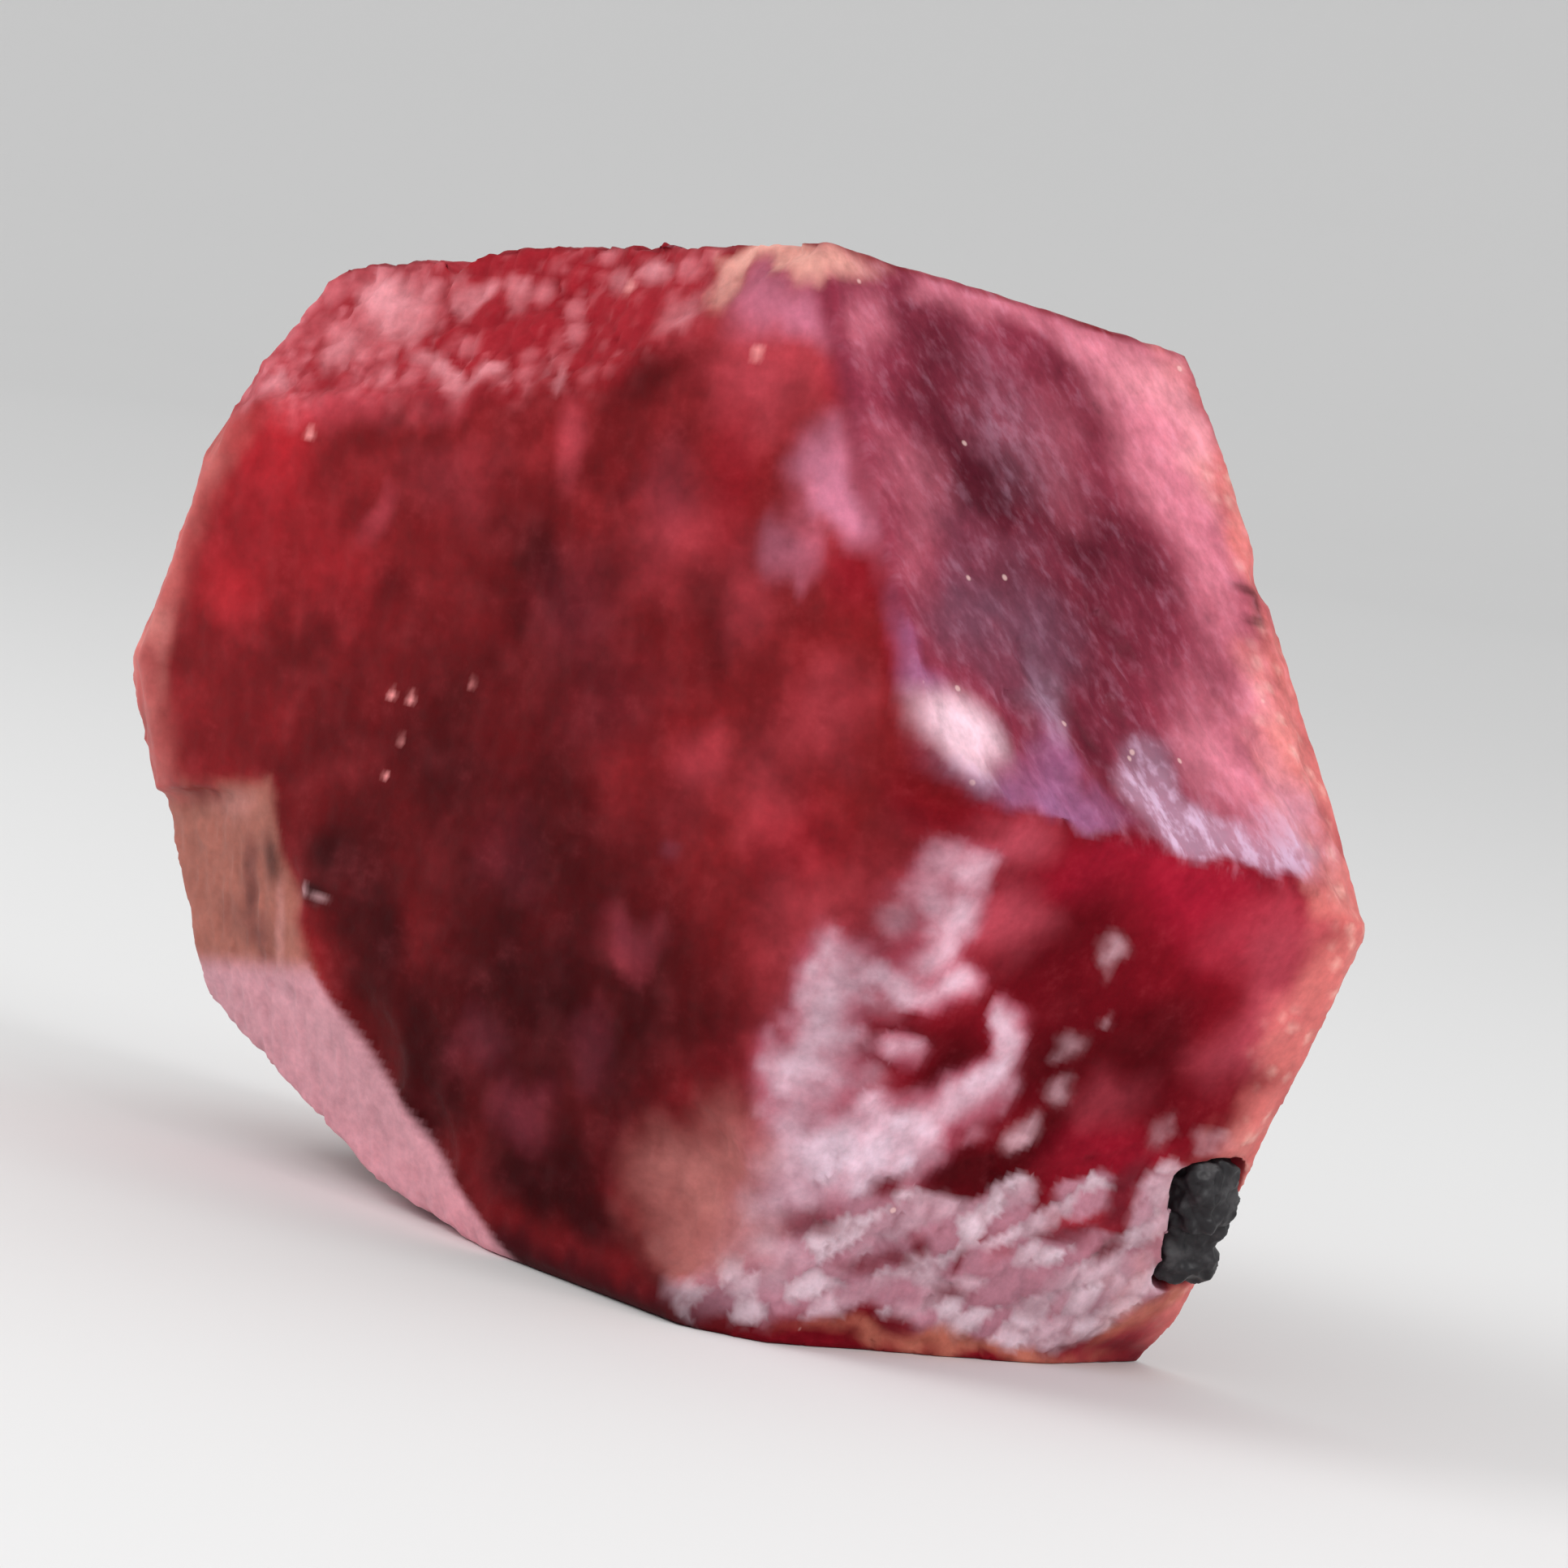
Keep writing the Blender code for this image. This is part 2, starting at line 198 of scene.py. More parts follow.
class Noise:
    """Repeatable noise over arrays of points."""

    @staticmethod
    def scatter(cells: np.ndarray, seed: int) -> np.ndarray:
        """A random number from 0 to 1 for each whole-numbered cell."""
        mixed = cells.astype(np.int64) & 0xFFFFFFFF
        value = mixed[..., 0] * 374761393 + mixed[..., 1] * 668265263 + mixed[..., 2] * 1103515245
        value = (value + seed * 974634777) & 0xFFFFFFFF
        value = ((value ^ (value >> 13)) * 1274126177) & 0xFFFFFFFF
        value = ((value ^ (value >> 15)) * 2246822519) & 0xFFFFFFFF
        return (value ^ (value >> 16)) / float(0xFFFFFFFF)

    @classmethod
    def smooth(cls, points: np.ndarray, size: Union[float, Triple], seed: int) -> np.ndarray:
        """Smooth noise from -1 to 1.

        Args:
            points: Where it is wanted, in millimetres.
            size: Size of its waves, in millimetres, one for all or one for each axis.
            seed: Which of the noises it is.

        Returns:
            One number for each point.
        """
        scaled = points / np.array(size, float)
        low = np.floor(scaled)
        part = scaled - low
        part = part * part * part * (part * (part * 6.0 - 15.0) + 10.0)
        total = np.zeros(len(points))
        for corner in np.ndindex(2, 2, 2):
            step = np.array(corner)
            weight = np.where(step == 1, part, 1.0 - part).prod(axis=1)
            total += weight * cls.scatter(low + step, seed)
        return total * 2.0 - 1.0

    @classmethod
    def layered(cls, points: np.ndarray, size: float, layers: int, seed: int) -> np.ndarray:
        """Noise with finer noise on it, each layer half the size and half the height."""
        waves = [cls.smooth(points, size / 2**k, seed + k) / 2**k for k in range(layers)]
        return np.sum(waves, axis=0)

    @classmethod
    def cells(cls, points: np.ndarray, size: float, seed: int) -> tuple[np.ndarray, ...]:
        """The nearest of a scatter of centres.

        Args:
            points: Where it is wanted, in millimetres.
            size: Mean spacing of the centres, in millimetres.
            seed: Which of the scatters it is.

        Returns:
            The offset from the nearest centre, its distance, the distance to the edge between
            it and the next, and the cell's random number.
        """
        scaled = points / size
        low = np.floor(scaled)
        nearest = np.full(len(points), 9.0)
        second = np.full(len(points), 9.0)
        offset = np.zeros_like(points)
        chance = np.zeros(len(points))
        for step in np.ndindex(3, 3, 3):
            cell = low + np.array(step) - 1.0
            jitter = np.stack([cls.scatter(cell, seed + axis) for axis in range(3)], axis=1)
            away = scaled - (cell + jitter)
            gap = np.linalg.norm(away, axis=1)
            closer = gap < nearest
            second = np.where(closer, nearest, np.minimum(second, gap))
            nearest = np.where(closer, gap, nearest)
            offset = np.where(closer[:, None], away, offset)
            chance = np.where(closer, cls.scatter(cell, seed + 7), chance)
        return offset * size, nearest * size, (second - nearest) * size, chance


def step_up(values: np.ndarray, low: float, high: float) -> np.ndarray:
    """Rises smoothly from 0 at low to 1 at high."""
    part = np.clip((values - low) / (high - low), 0.0, 1.0)
    return part * part * (3.0 - 2.0 * part)


@dataclass(frozen=True)
class CrystalRelief:
    """How far the crystal's surface is sunk, by fracture, growth and wear. Sizes in millimetres."""

    unevenness: float = 0.016
    grit: float = 0.006
    block_size: float = 0.28
    block_depth: float = 0.050
    streak_width: float = 0.17
    streak_length: float = 0.75
    streak_depth: float = 0.050
    cloud_size: float = 0.24
    cloud_depth: float = 0.060
    rim_grain: float = 0.20
    rim_depth: float = 0.022
    stria_width: float = 0.22
    stria_depth: float = 0.02
    pit_size: float = 0.9
    pit_depth: float = 0.035
    deepest: float = 0.080

    def streaks(self, points: np.ndarray) -> np.ndarray:
        """Slanting growth streaks of the upper right face, deeper towards its lower edge."""
        across, along = streak_axes()
        turned = points @ np.array([tuple(across), tuple(along), UPPER_RIGHT.normal]).T
        turned[:, 0] += 0.12 * Noise.smooth(points, 0.7, 31)
        broad = Noise.smooth(turned, (0.40, 1.5, 9.0), 32)
        fine = Noise.smooth(turned, (self.streak_width, self.streak_length, 9.0), 33)
        deeper = 0.40 + 0.60 * step_up(-points[:, 2], -3.4, -1.4)
        return self.streak_depth * deeper * np.clip(0.5 + 0.35 * broad + 0.55 * fine, 0.0, 1.2)

    def blocks(self, points: np.ndarray, size: float, depth: float, seed: int) -> np.ndarray:
        """Broken grains, each crowned, at its own level and leaning its own way."""
        offset, away, edge, chance = Noise.cells(points, size, seed)
        lean = np.stack([Noise.smooth(points - offset, 0.05, seed + 11 + k) for k in range(3)], 1)
        tilt = (offset * lean).sum(axis=1) / size
        gap = 1.0 - step_up(edge, 0.0, 0.30 * size)
        crown = (away / size) ** 2
        return depth * np.clip(0.5 * chance + 0.4 * tilt + 0.3 * gap + 0.4 * crown, 0.0, 1.2)

    def depth(self, points: np.ndarray) -> np.ndarray:
        """The depth of the whole relief.

        Args:
            points: The surface's points, in crystal coordinates.

        Returns:
            One depth for each point, in millimetres.
        """
        depth = self.unevenness * (0.5 + 0.5 * Noise.layered(points, 1.3, 3, 1))
        depth += self.grit * (1.0 + Noise.layered(points, 0.20, 2, 5))
        front = step_up(FRONT.above(points), -0.10, -0.03)
        upper = step_up(UPPER_RIGHT.above(points), -0.16, -0.08)
        lower = step_up(LOWER_RIGHT.above(points), -0.20, -0.10)
        beyond = np.minimum(BAND_LEFT.above(points), BAND_RIGHT.above(points))
        band = step_up(beyond, -0.25, 0.15) * (1.0 - upper)
        level = points * np.array(DRAWN_OUT)
        depth += band * self.blocks(level, self.block_size, self.block_depth, BAND_SEED)
        small, shallow = 0.5 * self.block_size, 0.4 * self.block_depth
        depth += band * self.blocks(level, small, shallow, HALF_BAND_SEED)
        depth += upper * (1.0 - front) * self.streaks(points)
        foot = step_up(-points[:, 2] + 0.25 * Noise.smooth(points, 0.7, 51), 1.3, 2.2)
        flakes = self.blocks(flaked(points), self.cloud_size, self.cloud_depth, CLOUD_SEED)
        depth += lower * foot * flakes
        rim = np.maximum(BACK_UPPER_RIM.above(points), BACK_LOWER_RIM.above(points))
        rim = step_up(rim, -0.12, 0.0) * (points[:, 1] > 0.0)
        depth += rim * self.blocks(points, self.rim_grain, self.rim_depth, RIM_SEED)
        around = (1.0 - front) * (1.0 - upper) * (1.0 - lower) * (1.0 - band)
        behind = step_up(BACK.above(points), -0.12, -0.04)
        stria = np.abs(Noise.smooth(points, (self.stria_width, 5.0, self.stria_width), 71))
        depth += around * (1.0 - behind) * self.stria_depth * stria * 2.0
        _, gap, _, chance = Noise.cells(points, self.pit_size, 81)
        pit = (1.0 - step_up(gap, 0.0, 0.32 * self.pit_size)) * (chance > 0.55)
        depth += np.maximum(behind, 0.2 * front) * self.pit_depth * pit
        resting = step_up(UNDERSIDE.above(points), -0.06, -0.02)
        return depth * (1.0 - resting)


# --- colours


@dataclass(frozen=True)
class Layer:
    """Soft-edged ovals of one colour on one face.

    Args:
        face: The face that they lie on.
        colour: The colour that they lay on it.
        ovals: For each, its middle across and up the face, half its length, half its width, its
            turn in the face in degrees, and its share at the middle. Sizes are in millimetres.
        soft: The part of their half size over which they fade.
    """

    face: Face
    colour: Colour
    ovals: tuple[Oval, ...]
    soft: float = 0.9

    def share(self, points: np.ndarray) -> np.ndarray:
        """How much of its colour lies on each point, from 0 to 1."""
        bare = np.ones(len(points))
        across, up = self.face.directions()
        for middle_across, middle_up, length, width, turn, strength in self.ovals:
            away = points - np.array(self.face.place(middle_across, middle_up))
            flat_across, flat_up = away @ across, away @ up
            angle = math.radians(turn)
            along = (flat_across * math.cos(angle) + flat_up * math.sin(angle)) / length
            beside = (flat_up * math.cos(angle) - flat_across * math.sin(angle)) / width
            depth = (away @ np.array(self.face.value.normal)) / OVAL_DEPTH
            gap = np.sqrt(along**2 + beside**2 + depth**2)
            bare *= 1.0 - strength * (1.0 - step_up(gap, 1.0 - self.soft, 1.0 + 0.5 * self.soft))
        return 1.0 - bare


class Canvas:
    """The colour of each point of the crystal's surface, laid on one coat after another."""

    def __init__(self, points: np.ndarray, base: Colour) -> None:
        """Starts with one colour all over.

        Args:
            points: The surface's points, in crystal coordinates.
            base: The first colour.
        """
        self.points = points
        self.level = points * np.array(DRAWN_OUT)
        self.drift = self.pushed(*WIDE_DRIFT)
        self.ragged = self.pushed(*FINE_DRIFT)
        self.colour = np.tile(np.array(base), (len(points), 1))

    def pushed(self, *waves: tuple[float, float]) -> np.ndarray:
        """The points moved about by noise, so that outlines are ragged.

        Args:
            waves: The size and the reach of each layer of the noise, in millimetres.

        Returns:
            The moved points.
        """
        moved = self.points.copy()
        for size, reach in waves:
            for axis in range(3):
                seed = 200 + int(size * 100) + axis
                moved[:, axis] += reach * Noise.smooth(self.points, size, seed)
        return moved

    def waves(self, size: float, seed: int) -> np.ndarray:
        """Noise from -1 to 1, with finer noise on it."""
        return Noise.layered(self.level, size, 3, seed) / 1.4

    def lumps(self, size: float, seed: int) -> np.ndarray:
        """Soft round lumps from 0 to 1, large and small together."""
        total = np.zeros(len(self.points))
        for part, weight in ((1.0, 1.0), (0.5, 0.7)):
            _, away, _, chance = Noise.cells(self.level, part * size, seed)
            lump = 1.0 - step_up(away, 0.10 * part * size, 0.75 * part * size)
            total = np.maximum(total, weight * lump * (0.35 + 0.65 * chance))
        return total

    def mottle(self, strength: float) -> None:
        """Lightens and darkens the colours in soft, uneven patches."""
        patch, clot = self.waves(0.6, 401), step_up(self.waves(0.26, 411), -0.35, 0.95)
        self.colour *= (1.0 + strength * (0.30 * patch + 0.20 * (clot - 0.4)))[:, None]
        self.lay(MOTTLE, 0.04 * strength * clot)

    def lay(self, colour: Union[Colour, np.ndarray], share: np.ndarray) -> None:
        """Lays a colour over each point by its share."""
        self.colour += (np.array(colour) - self.colour) * np.clip(share, 0.0, 1.0)[:, None]

    def layer(self, layer: Layer, points: np.ndarray, mask: Union[float, np.ndarray] = 1.0) -> None:
        """Lays a layer of ovals, where the mask allows."""
        self.lay(layer.colour, layer.share(points) * mask)


def flaked(points: np.ndarray) -> np.ndarray:
    """Points squeezed along a slant, so that cells among them come out as slanting flakes."""
    return points - 0.45 * np.outer(points @ np.array(FLAKE_AXIS), FLAKE_AXIS)


def blend(low: Colour, high: Colour, share: np.ndarray) -> np.ndarray:
    """The colours between two, one for each share."""
    part = np.clip(share, 0.0, 1.0)[:, None]
    return np.array(low) * (1.0 - part) + np.array(high) * part


@dataclass(frozen=True)
class FrontColours:
    """The clear red of the front face: dark in the middle, bright at its upper left, where painted light
    glows through the thin edge.
    """

    base: Colour = linear(126, 24, 29)
    maroon: Colour = linear(84, 8, 16)
    rose: Colour = linear(190, 58, 74)
    # painted light: the upper left glows bright red, as light coming through the thin edge
    lit_through_reds: Layer = Layer(Face.FRONT, linear(180, 34, 44), (
        (-4.9, 3.0, 1.2, 0.9, 0, 1.0), (-5.2, 1.8, 0.9, 0.8, 0, 0.55), (-3.2, 2.0, 0.9, 0.6, 0, 0.5),
        (-4.0, 4.2, 1.2, 0.4, 0, 0.5),
    ))
    deeps: Layer = Layer(Face.FRONT, linear(142, 18, 32), (
        (5.1, 2.8, 0.6, 0.35, 0, 1.0), (5.9, 2.1, 0.3, 0.5, 0, 0.8), (4.4, 4.2, 0.3, 0.3, 0, 0.7),
        (4.8, 0.3, 0.8, 0.5, 0, 0.6), (6.4, 1.0, 0.7, 0.3, 0, 0.9), (4.2, -1.4, 0.6, 0.6, 0, 0.6),
        (0.0, 4.8, 1.4, 0.4, 0, 0.4), (3.2, 3.4, 0.5, 0.8, 0, 0.5),
    ))
    darks: Layer = Layer(Face.FRONT, linear(50, 0, 3), (
        (1.2, -1.4, 3.6, 2.0, 0, 0.94), (-0.6, 0.6, 2.8, 1.2, 0, 0.7), (-2.8, -0.5, 0.9, 0.7, 0, 0.8),
        (-2.0, -1.4, 0.9, 0.6, -35, 0.9), (-0.7, -2.3, 0.9, 0.5, -40, 0.9), (1.5, -2.9, 1.2, 0.5, 0, 0.9),
        (1.9, -3.3, 1.6, 0.4, -10, 0.9), (0.4, 2.5, 0.4, 0.35, 0, 0.55), (0.2, 1.7, 0.35, 0.3, 0, 0.5),
        (-2.4, 2.15, 0.4, 0.25, 0, 0.45), (1.5, 4.2, 0.7, 0.3, 0, 0.55), (1.6, 3.25, 0.35, 0.2, 0, 0.5),
        (3.2, 2.3, 0.5, 0.3, 0, 0.3), (-1.7, 3.6, 0.4, 0.2, 0, 0.4), (-3.9, 0.6, 0.9, 0.6, 0, 0.3),
        (3.2, 1.9, 0.25, 0.3, 0, 0.45), (2.6, -1.9, 0.7, 0.5, 0, 0.4), (2.4, -3.2, 0.7, 0.4, 0, 0.8),
        (0.6, 2.2, 2.2, 0.9, 0, 0.35),
    ))
    pinks: Layer = Layer(Face.FRONT, linear(190, 68, 80), (
        (-3.6, 3.75, 1.1, 0.35, 0, 0.8), (-2.0, 3.95, 0.9, 0.25, 0, 0.6), (3.5, 4.4, 1.0, 0.6, 0, 0.7),
        (1.8, 5.0, 0.9, 0.4, 0, 0.8), (4.4, 3.1, 0.6, 0.4, 0, 0.5), (5.0, 1.6, 0.7, 0.5, 0, 0.5),
        (3.2, 1.1, 0.45, 0.3, 0, 0.45), (3.1, 0.7, 0.6, 0.4, 0, 0.15), (2.4, -0.65, 0.6, 0.25, 0, 0.45),
        (5.2, -0.4, 1.0, 0.8, 0, 0.6), (6.3, 0.3, 0.8, 0.5, 0, 0.6), (4.7, -1.6, 0.6, 0.9, 0, 0.25),
        (2.3, 2.9, 0.9, 0.6, 0, 0.4), (-2.6, 2.6, 0.2, 0.3, -30, 0.6), (-1.4, 3.1, 0.9, 0.4, 0, 0.35),
        (0.6, 3.65, 0.3, 0.4, 15, 0.6), (3.6, 2.5, 0.5, 0.5, 0, 0.4), (4.2, 0.9, 0.6, 0.6, 0, 0.3),
    ))
    greys: Layer = Layer(Face.FRONT, linear(110, 38, 50), (
        (0.1, -1.95, 0.5, 0.3, 0, 0.6), (1.0, -2.4, 0.6, 0.3, 0, 0.7), (2.0, -1.7, 0.4, 0.4, 0, 0.6),
        (2.4, -0.65, 0.6, 0.25, 0, 0.7), (2.85, 0.15, 0.2, 0.15, 0, 0.9), (0.2, -0.2, 0.7, 0.4, 0, 0.3),
        (2.2, 3.3, 0.5, 0.5, 0, 0.45), (0.9, 2.2, 0.8, 0.6, 0, 0.35), (1.6, 1.4, 1.0, 0.5, 0, 0.2),
    ), 0.8)
    lilacs: Layer = Layer(Face.FRONT, linear(206, 122, 148), (
        (4.6, 3.6, 0.6, 0.45, 0, 0.9), (4.9, 3.3, 0.6, 0.25, -20, 0.9), (4.1, 2.9, 0.5, 0.3, 0, 0.6),
        (4.2, 5.0, 0.7, 0.35, 0, 0.9), (3.3, 5.0, 0.6, 0.3, 0, 0.6),
    ), 0.8)

    def paint(self, canvas: Canvas) -> None:
        """Lays the face's own colours."""
        patchy = 1.0 + 0.35 * canvas.waves(0.5, 301)
        # the first of these layers is painted light glowing through the thin edge
        for layer in (self.lit_through_reds, self.deeps, self.darks):
            canvas.layer(layer, canvas.drift)
        for layer in (self.pinks, self.greys, self.lilacs):
            canvas.layer(layer, canvas.ragged, patchy)
        hidden = step_up(canvas.drift[:, 1], -0.8, 1.0)
        tone = 0.45 + 0.9 * Noise.layered(canvas.points, 2.6, 3, 305)
        canvas.lay(blend(self.maroon, self.rose, tone), hidden * 0.7)
        canvas.mottle(0.7)


@dataclass(frozen=True)
class CloudColours:
    """The crimson lower right face with its maroon depths and its white, broken cloud."""

    base: Colour = linear(124, 14, 28)
    haze: Colour = linear(176, 82, 102)
    milk_low: Colour = linear(210, 144, 162)
    milk_high: Colour = linear(236, 204, 220)
    grain_low: Colour = linear(186, 128, 144)
    grain_high: Colour = linear(238, 210, 222)
    crack: Colour = linear(140, 62, 76)
    grain_size: float = 0.24
    maroons: Layer = Layer(Face.LOWER_RIGHT, linear(68, 3, 8), (
        (-1.3, 0.3, 0.25, 0.2, 0, 0.7), (-1.4, -0.85, 0.45, 0.2, 0, 0.9), (-0.8, -1.0, 0.3, 0.45, 0, 0.9),
        (-0.3, -0.1, 0.5, 0.6, 0, 0.6), (0.7, -0.8, 0.9, 0.6, 0, 0.75), (0.0, -1.1, 0.5, 0.5, 0, 0.7),
        (0.0, -1.95, 0.6, 0.35, 0, 1.0), (0.6, -2.0, 0.6, 0.35, 0, 0.9), (0.6, -1.6, 0.4, 0.35, 0, 0.8),
        (1.3, -1.3, 0.6, 0.5, 0, 0.4), (-0.5, 0.4, 0.5, 0.4, 0, 0.35),
    ))
    crimsons: Layer = Layer(Face.LOWER_RIGHT, linear(160, 22, 46), (
        (0.9, 0.6, 1.2, 0.45, 0, 1.0), (1.3, 0.3, 0.7, 0.4, 0, 0.8), (-0.4, 0.7, 0.7, 0.4, 0, 0.5),
        (1.2, -2.0, 0.5, 0.35, 0, 0.5),
    ))
    reds: Layer = Layer(Face.LOWER_RIGHT, linear(196, 78, 94), (
        (1.9, 0.2, 0.45, 0.5, 0, 0.6), (1.5, 0.3, 0.5, 0.4, 0, 0.35), (2.2, -0.4, 0.4, 0.5, 0, 0.9),
        (1.9, -0.8, 0.5, 0.35, 0, 0.6), (-1.25, 0.75, 0.5, 0.35, 0, 0.9),
        (-0.95, 0.05, 0.4, 0.35, 0, 0.7), (0.95, -1.3, 0.4, 0.3, 0, 0.35), (-1.7, -0.2, 0.4, 0.5, 0, 0.6),
    ))
    milks: Layer = Layer(Face.LOWER_RIGHT, linear(206, 156, 174), (
        (-1.65, 0.5, 0.4, 0.3, 0, 0.6), (-1.45, 0.0, 0.3, 0.45, 28, 0.65),
        (-1.45, -0.5, 0.5, 0.22, 0, 0.8), (-2.0, -0.85, 0.4, 0.5, 0, 0.9),
        (-1.25, -1.15, 0.25, 0.2, 0, 0.6), (-0.4, -0.8, 0.18, 0.4, 28, 1.0),
        (-0.35, -1.25, 0.32, 0.25, 28, 0.8), (-0.5, -1.45, 0.35, 0.25, 0, 0.7),
        (-0.85, -1.75, 0.5, 0.3, 0, 0.9), (-1.5, -2.1, 0.8, 0.5, 0, 1.0),
        (-0.9, -2.15, 0.5, 0.35, 0, 0.9), (-1.9, -1.5, 0.4, 0.5, 0, 0.9), (-1.7, -2.8, 0.6, 0.5, 0, 0.7),
        (-2.0, -3.1, 0.5, 0.4, 0, 0.9), (-1.0, -1.9, 0.4, 0.3, 0, 0.5),
    ), 0.8)
    front_milks: Layer = Layer(Face.FRONT, linear(206, 156, 174), (
        (5.4, -0.6, 0.6, 0.5, 0, 0.7), (5.1, -1.5, 0.7, 0.5, 0, 0.8), (5.5, -2.1, 0.8, 0.45, 0, 1.0),
        (5.2, -2.6, 0.7, 0.4, 0, 0.9), (4.6, -3.1, 0.7, 0.35, 0, 0.7), (5.3, -3.5, 0.9, 0.25, 0, 0.8),
        (6.2, 0.0, 0.5, 0.4, 0, 0.4), (5.6, -3.35, 0.8, 0.3, 0, 0.9), (4.9, -2.9, 0.5, 0.5, 0, 0.6),
    ), 0.8)
    grains: Layer = Layer(Face.LOWER_RIGHT, linear(212, 180, 194), (
        (0.4, -2.55, 0.8, 0.3, 0, 0.9), (-0.3, -2.6, 0.6, 0.35, 0, 0.9), (-0.9, -2.7, 0.7, 0.4, 0, 0.9),
        (1.2, -2.25, 0.3, 0.17, 0, 1.0), (2.05, -2.3, 0.4, 0.4, 0, 0.9), (1.35, -2.7, 0.4, 0.25, 0, 1.0),
        (-1.2, -3.4, 1.0, 0.35, 0, 1.0), (-1.8, -3.55, 0.7, 0.3, 0, 1.0), (0.1, -3.15, 0.8, 0.35, 0, 1.0),
        (1.1, -3.05, 0.8, 0.4, 0, 0.9), (1.9, -2.95, 0.7, 0.45, 0, 0.85), (0.9, -3.5, 1.1, 0.25, 0, 0.85),
        (2.2, -3.2, 0.5, 0.3, 0, 0.7),
    ), 0.7)
    gaps: Layer = Layer(Face.LOWER_RIGHT, linear(118, 34, 46), (
        (-0.7, -2.3, 0.18, 0.12, 0, 1.0), (-1.4, -2.75, 0.5, 0.15, 10, 0.8),
        (-0.2, -2.75, 0.14, 0.14, 28, 1.0), (-0.4, -2.95, 0.25, 0.1, 0, 0.8),
        (0.35, -2.95, 0.13, 0.13, 0, 0.9), (0.4, -3.3, 0.25, 0.1, 0, 0.8),
        (1.1, -2.55, 0.3, 0.12, 0, 0.9), (1.65, -2.65, 0.22, 0.2, 0, 0.9),
        (1.55, -2.2, 0.14, 0.3, 0, 0.9), (0.1, -3.65, 0.35, 0.08, 0, 0.7),
        (-0.75, -3.15, 0.25, 0.1, 0, 0.6),
    ), 0.8)
    spots: Layer = Layer(Face.LOWER_RIGHT, linear(200, 154, 164), (
        (0.2, -0.05, 0.12, 0.18, 28, 0.9), (0.5, -0.65, 0.07, 0.07, 0, 0.5),
        (0.27, -0.9, 0.15, 0.13, 0, 0.8), (0.4, -1.33, 0.15, 0.14, 0, 0.7),
        (0.25, -1.75, 0.16, 0.18, 28, 1.0), (1.6, -1.6, 0.12, 0.2, 0, 0.45),
        (2.25, -1.62, 0.25, 0.1, 0, 0.7),
    ), 0.8)

    def paint(self, canvas: Canvas, lower: np.ndarray) -> None:
        """Lays the face's own colours, and the cloud that reaches round to the front.

        Args:
            canvas: What is painted.
            lower: How much of each point belongs to the face.
        """
        canvas.lay(self.base, lower)
        for layer in (self.maroons, self.crimsons):
            canvas.layer(layer, canvas.drift, lower)
        canvas.layer(self.reds, canvas.ragged, lower)
        milk = np.maximum(self.milks.share(canvas.ragged), self.front_milks.share(canvas.ragged))
        canvas.lay(self.haze, step_up(milk, 0.0, 0.45) * 0.85)
        lumps = canvas.lumps(0.42, 311)
        tone = 0.58 + 0.45 * lumps + 0.35 * canvas.waves(0.5, 313) + 0.8 * (milk - 0.6)
        broken = milk + 0.36 * (lumps - 0.45) + 0.15 * canvas.waves(0.2, 312)
        milk = step_up(milk, 0.0, 0.25) * step_up(broken, 0.0, 1.05)
        canvas.lay(blend(self.milk_low, self.milk_high, tone), milk)
        self.paint_grains(canvas)
        canvas.mottle(0.3)
        canvas.layer(self.spots, canvas.pushed((0.16, 0.07)), 0.8 + 0.5 * canvas.waves(0.2, 317))

    def paint_grains(self, canvas: Canvas) -> None:
        """Lays the part of the cloud that is broken in grains."""
        _, _, edge, chance = Noise.cells(flaked(canvas.points), self.grain_size, CLOUD_SEED)
        share = self.grains.share(canvas.ragged)
        share *= 1.0 + 0.7 * (chance - 0.5) + 0.35 * canvas.waves(0.3, 315)
        share = step_up(share, 0.15, 0.60)
        tone = 1.6 * chance - 0.4 + 0.3 * canvas.waves(0.3, 316)
        canvas.lay(blend(self.grain_low, self.grain_high, tone), share)
        seam = (1.0 - step_up(edge, 0.0, 0.3 * self.grain_size)) * step_up(chance, 0.25, 0.6)
        canvas.lay(self.crack, share * seam * 0.35)
        canvas.layer(self.gaps, canvas.ragged)


